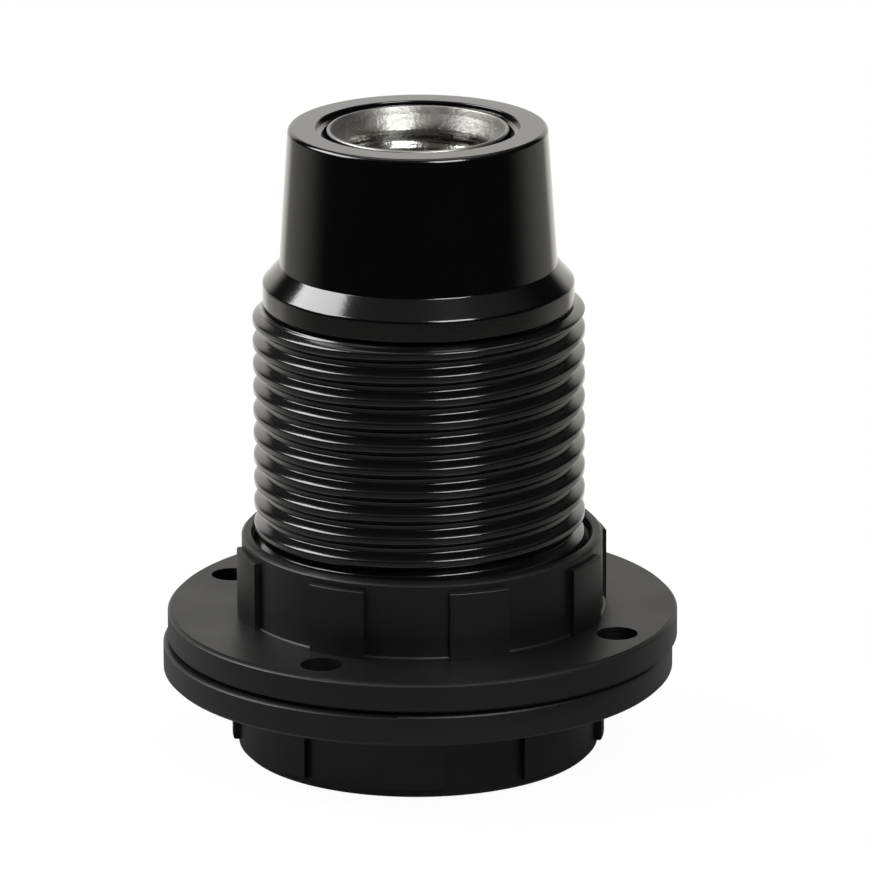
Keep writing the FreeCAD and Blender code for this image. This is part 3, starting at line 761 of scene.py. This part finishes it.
# %% [markdown]
# ## Threads
#
# A thread is a ridge that climbs as it goes round, so its shape is a rule: at any place on the wall, the
# distance to the nearest crest follows from the height and from the angle round the axis. Sweeping a section
# along a helix would leave seams at both ends. Instead this Geometry Nodes tree moves the points of a finely
# divided tube outward by that rule. One tree cuts the barrel's coarse thread, rolls the lamp shell's and
# raises those inside the shade rings, each with its own named values.

# %% Thread tree
THREAD_INPUTS = [
    ("Geometry", "NodeSocketGeometry", None),
    ("Pitch", "NodeSocketFloat", 2.0 * MM),
    ("Depth", "NodeSocketFloat", 0.5 * MM),
    ("Sunk Share", "NodeSocketFloat", 0.0),
    ("Crest Height", "NodeSocketFloat", 0.0),
    ("Crest Half Width", "NodeSocketFloat", 0.2 * MM),
    ("Flank Run", "NodeSocketFloat", 0.5 * MM),
    ("Start", "NodeSocketFloat", 0.0),
    ("End", "NodeSocketFloat", 1.0),
    ("Run Out", "NodeSocketFloat", 1.0 * MM),
    ("Wall Inside", "NodeSocketFloat", 0.0),
    ("Wall Outside", "NodeSocketFloat", 1.0),
    ("Material", "NodeSocketMaterial", None),
]


def make_thread_tree():
    outputs = [("Geometry", "NodeSocketGeometry", None)]
    tree, given, result = new_tree("cut_thread", "GeometryNodeTree", THREAD_INPUTS, outputs)
    place = add_node(tree, "GeometryNodeInputPosition").outputs[0]
    x, y, z, radius, outward = around_axis(tree, place)

    angle = math_step(tree, "ARCTAN2", y, x)
    turn = math_step(tree, "DIVIDE", angle, 2 * math.pi)
    rise = math_step(tree, "SUBTRACT", z, given["Crest Height"])
    climb = math_step(tree, "DIVIDE", rise, given["Pitch"])
    turns = math_step(tree, "SUBTRACT", climb, turn)
    from_crest = math_step(tree, "SUBTRACT", turns, math_step(tree, "ROUND", turns))
    distance = math_step(tree, "MULTIPLY", math_step(tree, "ABSOLUTE", from_crest), given["Pitch"])
    flank_foot = math_step(tree, "ADD", given["Crest Half Width"], given["Flank Run"])
    ridge = smooth_step(tree, distance, given["Crest Half Width"], flank_foot, 1.0, 0.0)

    start_end = math_step(tree, "ADD", given["Start"], given["Run Out"])
    end_start = math_step(tree, "SUBTRACT", given["End"], given["Run Out"])
    runs_in = smooth_step(tree, z, given["Start"], start_end, 0.0, 1.0)
    runs_out = smooth_step(tree, z, end_start, given["End"], 1.0, 0.0)
    past_inside = math_step(tree, "GREATER_THAN", radius, given["Wall Inside"])
    before_outside = math_step(tree, "LESS_THAN", radius, given["Wall Outside"])

    shift = math_step(tree, "SUBTRACT", ridge, given["Sunk Share"])
    for factor in (given["Depth"], runs_in, runs_out, past_inside, before_outside):
        shift = math_step(tree, "MULTIPLY", shift, factor)
    inputs = {"Geometry": given["Geometry"], "Offset": along(tree, outward, shift)}
    moved = add_node(tree, "GeometryNodeSetPosition", inputs).outputs[0]
    end_tree(tree, moved, given["Material"], result)
    return tree


thread_tree = make_thread_tree()

# %% [markdown]
# A tree works on a piece as a modifier. Blender knows the modifier's inputs by identifiers that it made up
# itself, so the helper looks up each named value's identifier before it sets the value.


# %% Run a tree on a piece
def live_tree(piece, tree, values):
    """Put a Geometry Nodes tree on the piece as a modifier with these named values."""
    modifier = piece.modifiers.new(tree.name, "NODES")
    modifier.node_group = tree
    for item in tree.interface.items_tree:
        if item.item_type == "SOCKET" and item.in_out == "INPUT" and item.name in values:
            modifier[item.identifier] = values[item.name]


def run_tree(piece, tree, values):
    """Run a tree on the piece and keep the result as its mesh."""
    live_tree(piece, tree, values)
    return baked(piece)


# %% [markdown]
# ## Barrel
#
# The barrel's thread has a 2 mm pitch and rounded ridges, so each ridge shows two bright strokes under a
# softbox: one on its shoulder and one in the hollow below. The smooth step in the thread tree gives just that
# shape. The crest heights come from the CAD barrel, so rings that ride on it still fit.

# %% Barrel
THREAD_PITCH = 2.0
THREAD_DEPTH = 0.76
CREST_HEIGHT = 36.97
CREST_HALF_WIDTH = 0.18
FLANK_RUN = 0.66
THREAD_RUN_OUT = 0.35
BARREL_CREST = barrel_high.x / MM
BARREL_ROOT = BARREL_CREST - THREAD_DEPTH
BARREL_FOOT = barrel_low.z / MM
BARREL_TOP = barrel_high.z / MM
BARREL_BORE = 11.9
BARREL_SKIN = 0.3
WAIST_BORE = 10.9
WAIST_TOP = 27.0
WAIST_FOOT = 7.3
ROWS_PER_TURN = 30
BARREL_SEGMENTS = 150


def make_barrel():
    outline = softened([
        (BARREL_BORE, BARREL_FOOT, 0.15),
        (BARREL_ROOT, BARREL_FOOT, 0.15),
        (BARREL_ROOT, BARREL_TOP, 0.15),
        (BARREL_BORE, BARREL_TOP, 0.15),
        (BARREL_BORE, WAIST_TOP, 0),
        (WAIST_BORE, WAIST_TOP, 0.1),
        (WAIST_BORE, WAIST_FOOT, 0.1),
        (BARREL_BORE, WAIST_FOOT, 0),
    ])
    outer_wall = BARREL_ROOT - BARREL_SKIN
    spacing = THREAD_PITCH / ROWS_PER_TURN
    outline = with_rows(outline, BARREL_FOOT, BARREL_TOP, spacing, nearest=outer_wall)
    tube = turned_mesh("barrel_moulding", outline, BARREL_SEGMENTS)
    piece = new_piece("barrel_moulding", tube, rubbed_black)
    run_tree(piece, thread_tree, {
        "Pitch": THREAD_PITCH * MM,
        "Depth": THREAD_DEPTH * MM,
        "Crest Height": CREST_HEIGHT * MM,
        "Crest Half Width": CREST_HALF_WIDTH * MM,
        "Flank Run": FLANK_RUN * MM,
        "Start": BARREL_FOOT * MM,
        "End": BARREL_TOP * MM,
        "Run Out": THREAD_RUN_OUT * MM,
        "Wall Inside": outer_wall * MM,
        "Material": rubbed_black,
    })
    install(piece, "gloss_black", "holder", "threaded_barrel")


make_barrel()

# %% [markdown]
# ## Screw shell
#
# The shell is a drawn cup: a flat bottom ring that is riveted to the carrier, a wall with a rolled thread in
# which the lamp turns, a flared mouth and a rolled lip that rests in the nose's recess. A rolled thread shows
# on both sides of the sheet, so the tree moves the inner and the outer wall alike, half in and half out.

# %% Screw shell
shell_low, shell_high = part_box("screw_shell")
SHELL_FOOT = shell_low.z / MM
SHELL_TOP = shell_high.z / MM
SHELL_LIP = shell_high.x / MM
SHELL_BORE = 6.55
SHELL_HOLE = 3.9
SHEET = 0.35
FOOT_STEP = 0.4
FOOT_END = 36.0
FUNNEL_DEPTH = 1.7
LIP_WIDTH = 0.3
LIP_DEPTH = 0.3
LIP_EDGE = 0.29
LIP_DIP = 0.04
FLARE_WAIST = 7.15
FLARE_WAIST_DEPTH = 0.65
FLARE_DEPTH = 2.0
FLARE_EASE = 0.35
FLARE_STEP = 0.02
LAMP_PITCH = 2.822
LAMP_THREAD_DEPTH = 0.72
LAMP_FIRST_CREST = 1.0
LAMP_CREST_HALF_WIDTH = 0.1
LAMP_RUN_OUT = 1.0
LAMP_ROWS_PER_TURN = 24
THREAD_DROP = 0.7
WALL_MARGIN = 0.2


def make_shell():
    thread_foot = FOOT_END + FOOT_STEP
    funnel_foot = SHELL_TOP - FUNNEL_DEPTH
    thread_top = funnel_foot - THREAD_DROP
    outline = softened([
        (SHELL_HOLE, SHELL_FOOT, 0),
        (SHELL_BORE - FOOT_STEP + SHEET, SHELL_FOOT, 0.5),
        (SHELL_BORE - FOOT_STEP + SHEET, FOOT_END, 0.3),
        (SHELL_BORE + SHEET, thread_foot, 0.3),
        (SHELL_BORE + SHEET, funnel_foot, 0.8),
        (SHELL_LIP - LIP_WIDTH, SHELL_TOP - LIP_DEPTH, 0.1),
        (SHELL_LIP, SHELL_TOP - LIP_EDGE, 0.1),
        (SHELL_LIP, SHELL_TOP, 0.16),
        (SHELL_LIP - LIP_WIDTH, SHELL_TOP - LIP_DIP, 0.1),
        (FLARE_WAIST, SHELL_TOP - FLARE_WAIST_DEPTH, 0.9),
        (SHELL_BORE + FLARE_STEP, SHELL_TOP - FLARE_DEPTH, 1.2),
        (SHELL_BORE, SHELL_TOP - FLARE_DEPTH - FLARE_EASE, 0.2),
        (SHELL_BORE, thread_foot, 0.3),
        (SHELL_BORE - FOOT_STEP, FOOT_END, 0.3),
        (SHELL_BORE - FOOT_STEP, SHELL_FOOT + SHEET, 0.2),
        (SHELL_HOLE, SHELL_FOOT + SHEET, 0),
    ])
    outline = with_rows(outline, thread_foot, thread_top, LAMP_PITCH / LAMP_ROWS_PER_TURN)
    piece = new_piece("lamp_shell", turned_mesh("lamp_shell", outline), bright_plate)
    run_tree(piece, thread_tree, {
        "Pitch": LAMP_PITCH * MM,
        "Depth": LAMP_THREAD_DEPTH * MM,
        "Sunk Share": 0.5,
        "Crest Height": (thread_foot + LAMP_FIRST_CREST) * MM,
        "Crest Half Width": LAMP_CREST_HALF_WIDTH * MM,
        "Flank Run": (LAMP_PITCH / 2 - LAMP_CREST_HALF_WIDTH) * MM,
        "Start": thread_foot * MM,
        "End": thread_top * MM,
        "Run Out": LAMP_RUN_OUT * MM,
        "Wall Inside": (SHELL_BORE - WALL_MARGIN) * MM,
        "Wall Outside": (SHELL_BORE + SHEET + WALL_MARGIN) * MM,
        "Material": bright_plate,
    })
    install(piece, "nickel", "holder", "screw_shell")


make_shell()

# %% [markdown]
# ## Centre contact
#
# The tongue is a strip of spring bronze. It lies flat under its rivet, bends up, and ends in a rounded nose
# that the lamp presses down. The strip is a bent line given a width, and Solidify gives it its sheet. The
# foot stays on the carrier while the nose goes down with the joint.

# %% Centre contact
tongue_low, tongue_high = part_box("centre_contact")
TONGUE_SHEET = 0.4
TONGUE_EDGE = 0.08
TONGUE_LIFT = 0.02
TONGUE_BEND = 0.9
TONGUE_COLUMNS = (-1.0, -0.5, 0.0, 0.5, 1.0)
SLOPE_FOOT = 1.5
SLOPE_TOP = -0.4
CROWN_END = -1.25
TIP_BEND = 0.4
TIP_INSET = 0.1
TIP_DROP = 0.6


def make_tongue():
    foot = tongue_low.z / MM + TONGUE_SHEET / 2 + TONGUE_LIFT
    crown = tongue_high.z / MM - TONGUE_SHEET / 2
    # the bent line as an open outline: its two far ends are plain corners
    line = softened([
        (tongue_high.x / MM, foot, 0),
        (SLOPE_FOOT, foot, TONGUE_BEND),
        (SLOPE_TOP, crown, TONGUE_BEND),
        (CROWN_END, crown, TIP_BEND),
        (tongue_low.x / MM + TIP_INSET, crown - TIP_DROP, 0),
    ])
    half_width = (tongue_high.y - tongue_low.y) / 2
    corners = [(p.x * MM, column * half_width, p.y * MM) for p in line for column in TONGUE_COLUMNS]
    faces = []
    across = len(TONGUE_COLUMNS)
    for row in range(len(line) - 1):
        for column in range(across - 1):
            here = row * across + column
            faces.append((here, here + 1, here + across + 1, here + across))
    mesh = bpy.data.meshes.new("bronze_tongue")
    mesh.from_pydata(corners, [], faces)
    mesh.shade_smooth()
    piece = new_piece("bronze_tongue", mesh, spring_bronze)
    sheet = piece.modifiers.new("sheet", "SOLIDIFY")
    sheet.thickness = TONGUE_SHEET * MM
    sheet.offset = 0
    soft_edge(piece, TONGUE_EDGE)
    even_shading(piece)
    baked(piece)
    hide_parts("centre_contact")
    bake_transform(piece)


make_tongue()

# %% [markdown]
# ## Rivets
#
# Tubular rivets hold the shell, the carrier and the terminals together. The ends of their hollow shanks are
# rolled over into round rims. A rim is a circle swept along a circle. The shank is a closed cylinder here, so
# the hollow shows as a dimple in each head. The tree places one rivet on each point it is given.

# %% Rivet tree
RIVET_INPUTS = [
    ("Geometry", "NodeSocketGeometry", None),
    ("Shank Radius", "NodeSocketFloat", 0.65 * MM),
    ("Head Radius", "NodeSocketFloat", 1.0 * MM),
    ("Head Height", "NodeSocketFloat", 0.45 * MM),
    ("Grip", "NodeSocketFloat", 7.0 * MM),
    ("Hollow Radius", "NodeSocketFloat", 0.35 * MM),
    ("Material", "NodeSocketMaterial", None),
]
RIM_SIDES = 14
RIVET_SIDES = 32


def make_rivet_tree():
    outputs = [("Geometry", "NodeSocketGeometry", None)]
    tree, given, result = new_tree("place_rivets", "GeometryNodeTree", RIVET_INPUTS, outputs)
    rim_width = math_step(tree, "SUBTRACT", given["Head Radius"], given["Hollow Radius"])
    half_rim = math_step(tree, "DIVIDE", rim_width, 2.0)
    rim_middle = math_step(tree, "ADD", given["Hollow Radius"], half_rim)
    circle = "GeometryNodeCurvePrimitiveCircle"
    path = add_node(tree, circle, {"Resolution": RIVET_SIDES, "Radius": rim_middle}).outputs[0]
    section = add_node(tree, circle, {"Resolution": RIM_SIDES, "Radius": half_rim}).outputs[0]
    rim = add_node(tree, "GeometryNodeCurveToMesh", {"Curve": path, "Profile Curve": section}).outputs[0]
    flatness = math_step(tree, "DIVIDE", given["Head Height"], rim_width)
    squat = add_node(tree, "ShaderNodeCombineXYZ", {0: 1.0, 1: 1.0, 2: flatness}).outputs[0]
    half_head = math_step(tree, "DIVIDE", given["Head Height"], 2.0)
    low_height = math_step(tree, "MULTIPLY", half_head, -1.0)
    high_height = math_step(tree, "ADD", given["Grip"], half_head)
    rims = []
    for height in (low_height, high_height):
        spot = add_node(tree, "ShaderNodeCombineXYZ", {2: height}).outputs[0]
        inputs = {"Geometry": rim, "Translation": spot, "Scale": squat}
        rims.append(add_node(tree, "GeometryNodeTransform", inputs).outputs[0])
    shank_inputs = {"Vertices": RIVET_SIDES, "Radius": given["Shank Radius"], "Depth": given["Grip"]}
    shank = add_node(tree, "GeometryNodeMeshCylinder", shank_inputs, fill_type="NGON").outputs[0]
    half_grip = math_step(tree, "DIVIDE", given["Grip"], 2.0)
    lift = add_node(tree, "ShaderNodeCombineXYZ", {2: half_grip}).outputs[0]
    raised = add_node(tree, "GeometryNodeTransform", {"Geometry": shank, "Translation": lift}).outputs[0]
    rivet = tree.nodes.new("GeometryNodeJoinGeometry")
    for shape in (*rims, raised):
        tree.links.new(shape, rivet.inputs[0])
    points = add_node(tree, "GeometryNodeMeshToPoints", {0: given["Geometry"]}).outputs[0]
    inputs = {"Points": points, "Instance": rivet.outputs[0]}
    placed = add_node(tree, "GeometryNodeInstanceOnPoints", inputs).outputs[0]
    real = add_node(tree, "GeometryNodeRealizeInstances", {0: placed}).outputs[0]
    round_faces = add_node(tree, "GeometryNodeSetShadeSmooth", {0: real}).outputs[0]
    inputs = {"Geometry": round_faces, "Material": given["Material"]}
    dressed = add_node(tree, "GeometryNodeSetMaterial", inputs)
    tree.links.new(dressed.outputs[0], result["Geometry"])
    return tree


rivet_tree = make_rivet_tree()

# %% Rivets
RIVET_HEAD = 0.45
RIVET_HOLLOW = 0.35
SLIM_SHANK = 0.65
STOUT_SHANK = 1.0


def make_rivets(name, shank_radius, *nodes):
    """Rivets for CAD nodes of one size, each on its own node's axis."""
    spots = []
    for node in nodes:
        low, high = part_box(node)
        middle = (low + high) / 2
        spots.append((middle.x, middle.y, low.z + RIVET_HEAD * MM))
    mesh = bpy.data.meshes.new(name)
    mesh.from_pydata(spots, [], [])
    piece = new_piece(name, mesh, None)
    run_tree(piece, rivet_tree, {
        "Shank Radius": shank_radius * MM,
        "Head Radius": (high.x - low.x) / 2,
        "Head Height": RIVET_HEAD * MM,
        "Grip": high.z - low.z - 2 * RIVET_HEAD * MM,
        "Hollow Radius": RIVET_HOLLOW * MM,
        "Material": rivet_plate,
    })
    install(piece, "rivet_brass", "holder", *nodes)


make_rivets("shell_rivets", SLIM_SHANK, "front_shell_rivet", "back_shell_rivet")
make_rivets("neutral_rivet", SLIM_SHANK, "side_rivet")
make_rivets("live_rivet", STOUT_SHANK, "centre_rivet")

# %% [markdown]
# ## Solids that stay
#
# The shade rings, the base cap and the inner blocks already have their true shape in the CAD model. They come
# as loose triangles, so a small tree on each one welds them, keeps real edges sharp and shades the round
# walls smoothly. A narrow bevel then softens the edges that a mould or a cutter never leaves knife-sharp.
#
# The rounded rims of the two rings are the one place where the CAD's triangles are too uneven for clean
# reflections. There a second tree first gathers the points of each rounding on its two border circles. What
# is left is one even strip, and since the modifier for even shading gives each border the direction of the
# large face beside it, the strip between them shades like the rounding that it replaces.

# %% Weld tree
WELD_INPUTS = [
    ("Geometry", "NodeSocketGeometry", None),
    ("Weld Distance", "NodeSocketFloat", 0.0005 * MM),
    ("Sharp Angle", "NodeSocketFloat", SHARP_ANGLE),
    ("Material", "NodeSocketMaterial", None),
]


def make_weld_tree():
    outputs = [("Geometry", "NodeSocketGeometry", None)]
    tree, given, result = new_tree("weld_and_shade", "GeometryNodeTree", WELD_INPUTS, outputs)
    inputs = {"Geometry": given["Geometry"], "Distance": given["Weld Distance"]}
    welded = add_node(tree, "GeometryNodeMergeByDistance", inputs).outputs[0]
    inputs = {"Geometry": welded, "Shade Smooth": True}
    round_faces = add_node(tree, "GeometryNodeSetShadeSmooth", inputs, domain="FACE").outputs[0]
    bend = add_node(tree, "GeometryNodeInputMeshEdgeAngle").outputs["Unsigned Angle"]
    soft = math_step(tree, "LESS_THAN", bend, given["Sharp Angle"])
    inputs = {"Geometry": round_faces, "Shade Smooth": soft}
    creased = add_node(tree, "GeometryNodeSetShadeSmooth", inputs, domain="EDGE").outputs[0]
    end_tree(tree, creased, given["Material"], result)
    return tree


weld_tree = make_weld_tree()

# %% Rim tree
RIM_INPUTS = [
    ("Geometry", "NodeSocketGeometry", None),
    ("Corner Middle", "NodeSocketVector", (0, 0, 0)),
    ("Corner Radius", "NodeSocketFloat", 1.0),
    ("Rounding", "NodeSocketFloat", 0.3 * MM),
    ("Tolerance", "NodeSocketFloat", 0.001 * MM),
    ("Material", "NodeSocketMaterial", None),
]


def make_rim_tree():
    outputs = [("Geometry", "NodeSocketGeometry", None)]
    tree, given, result = new_tree("even_rim", "GeometryNodeTree", RIM_INPUTS, outputs)
    place = add_node(tree, "GeometryNodeInputPosition").outputs[0]
    inputs = {0: place, 1: given["Corner Middle"]}
    from_middle = add_node(tree, "ShaderNodeVectorMath", inputs, operation="SUBTRACT").outputs[0]
    rise, radius, outward = around_axis(tree, from_middle)[2:]
    below = math_step(tree, "ABSOLUTE", rise)
    inside = math_step(tree, "SUBTRACT", given["Corner Radius"], radius)

    reach = math_step(tree, "ADD", given["Rounding"], given["Tolerance"])
    near_wall = math_step(tree, "LESS_THAN", math_step(tree, "ABSOLUTE", inside), reach)
    near_face = math_step(tree, "LESS_THAN", below, reach)
    rounded_part = math_step(tree, "MULTIPLY", near_wall, near_face)

    on_wall = math_step(tree, "GREATER_THAN", below, inside)
    on_face = math_step(tree, "SUBTRACT", 1.0, on_wall)
    wanted_inside = math_step(tree, "MULTIPLY", on_face, given["Rounding"])
    wanted_below = math_step(tree, "MULTIPLY", on_wall, given["Rounding"])
    spread = math_step(tree, "SUBTRACT", inside, wanted_inside)
    drop = math_step(tree, "SUBTRACT", wanted_below, below)
    drop = math_step(tree, "MULTIPLY", drop, math_step(tree, "SIGN", rise))
    upward = add_node(tree, "ShaderNodeCombineXYZ", {2: drop}).outputs[0]
    move = add_node(tree, "ShaderNodeVectorMath", {0: along(tree, outward, spread), 1: upward}).outputs[0]
    inputs = {"Geometry": given["Geometry"], "Selection": rounded_part, "Offset": move}
    gathered = add_node(tree, "GeometryNodeSetPosition", inputs).outputs[0]
    end_tree(tree, gathered, given["Material"], result)
    return tree


rim_tree = make_rim_tree()

# %% Rims of the rings
FLANGE_RADIUS = 21.65
FLANGE_THICKNESS = 2.7
FLANGE_ROUND = 0.3
COLLAR_RADIUS = 15.3
COLLAR_ROUND = 0.35


def even_rims(node, face_height, collar_height):
    """Gather the three rounded rims of a shade ring with these heights of its flange face and collar rim."""
    low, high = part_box(node)
    middle = (low + high) / 2
    toward_collar = math.copysign(FLANGE_THICKNESS * MM, collar_height - face_height)
    for radius, height, rounding in (
        (FLANGE_RADIUS, face_height, FLANGE_ROUND),
        (FLANGE_RADIUS, face_height + toward_collar, FLANGE_ROUND),
        (COLLAR_RADIUS, collar_height, COLLAR_ROUND),
    ):
        live_tree(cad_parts[node], rim_tree, {
            "Corner Middle": (middle.x, middle.y, height),
            "Corner Radius": radius * MM,
            "Rounding": rounding * MM,
            "Material": matt_black,
        })


upper_low, upper_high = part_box("upper_shade_ring")
lower_low, lower_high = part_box("lower_shade_ring")
even_rims("upper_shade_ring", upper_low.z, upper_high.z)
even_rims("lower_shade_ring", lower_high.z, lower_low.z)

# %% [markdown]
# The solids of the rings have plain bores that clear the barrel's crests. A real ring has an inside thread
# that runs in the barrel's grooves, and without it one could look down through the gap. The thread tree makes
# it from a thin tube in the bore, with a depth below zero, so that its ridges grow inward, half a pitch above
# the barrel's crests. The lower ring turns a fifth of a turn without sinking, so its ridges lie a little
# below the middle of the groove at rest, and as far above it at the end of that turn.

# %% Ring threads
RING_BORE = 14.3
RING_LINER = 0.02
RING_TUBE = 0.1
RING_THREAD_DEPTH = 0.66
RING_CREST_HALF_WIDTH = 0.05
RING_FLANK_RUN = 0.45
RING_RUN_OUT = 0.6
RING_THREAD_END = 0.5
RING_ROWS_PER_TURN = 20
LOWER_RING_SHARE = 0.2


def make_ring_thread(name, body, low, high, groove_shift):
    """The inside thread of the ring with this box, shifted in its groove by a height in millimetres."""
    foot, top = low.z / MM + RING_THREAD_END, high.z / MM - RING_THREAD_END
    inner, outer = RING_BORE - RING_LINER, RING_BORE + RING_TUBE
    outline = [Vector((inner, foot)), Vector((outer, foot)), Vector((outer, top)), Vector((inner, top))]
    outline = with_rows(outline, foot, top, THREAD_PITCH / RING_ROWS_PER_TURN, furthest=RING_BORE)
    piece = new_piece(name, turned_mesh(name, outline, BARREL_SEGMENTS), matt_black)
    run_tree(piece, thread_tree, {
        "Pitch": THREAD_PITCH * MM,
        "Depth": -RING_THREAD_DEPTH * MM,
        "Crest Height": (CREST_HEIGHT + THREAD_PITCH / 2 + groove_shift) * MM,
        "Crest Half Width": RING_CREST_HALF_WIDTH * MM,
        "Flank Run": RING_FLANK_RUN * MM,
        "Start": foot * MM,
        "End": top * MM,
        "Run Out": RING_RUN_OUT * MM,
        "Wall Outside": RING_BORE * MM,
        "Material": matt_black,
    })
    middle = (low + high) / 2
    piece.data.transform(Matrix.Translation((middle.x, middle.y, 0)))
    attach(piece, body)
    print(f"{name}: {len(piece.data.polygons)} faces")


lower_shift = -THREAD_PITCH * LOWER_RING_SHARE / 2
make_ring_thread("upper_ring_thread", "upper_ring", upper_low, upper_high, 0.0)
make_ring_thread("lower_ring_thread", "lower_ring", lower_low, lower_high, lower_shift)

# %% [markdown]
# Now each CAD solid that stays gets its finish and its modifiers. A dissolve first makes every flat area one
# face again, so that the bevel finds clean edges.

# %% Dress the solids
FLAT_ANGLE = math.radians(0.5)
EDGE_ROUNDING = 0.12
SOLID_FINISHES = {
    matt_black: ["upper_shade_ring", "lower_shade_ring"],
    gloss_black: ["base_cap"],
    raw_phenolic: ["contact_carrier"],
    machined_brass: ["live_terminal", "neutral_terminal", "live_wire_guard", "neutral_wire_guard"],
    zinc_steel: ["live_terminal_screw", "neutral_terminal_screw", "lock_screw", "entry_bush"],
    red_fibre: ["insulating_disc"],
}


def dress_solid(node, material):
    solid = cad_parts[node]
    solid.data.materials.clear()
    solid.data.materials.append(material)
    live_tree(solid, weld_tree, {"Material": material})
    flat = solid.modifiers.new("one_face_per_plane", "DECIMATE")
    flat.decimate_type = "DISSOLVE"
    flat.angle_limit = FLAT_ANGLE
    soft_edge(solid, EDGE_ROUNDING)
    even_shading(solid)


for finish, names in SOLID_FINISHES.items():
    for name in names:
        dress_solid(name, finish)
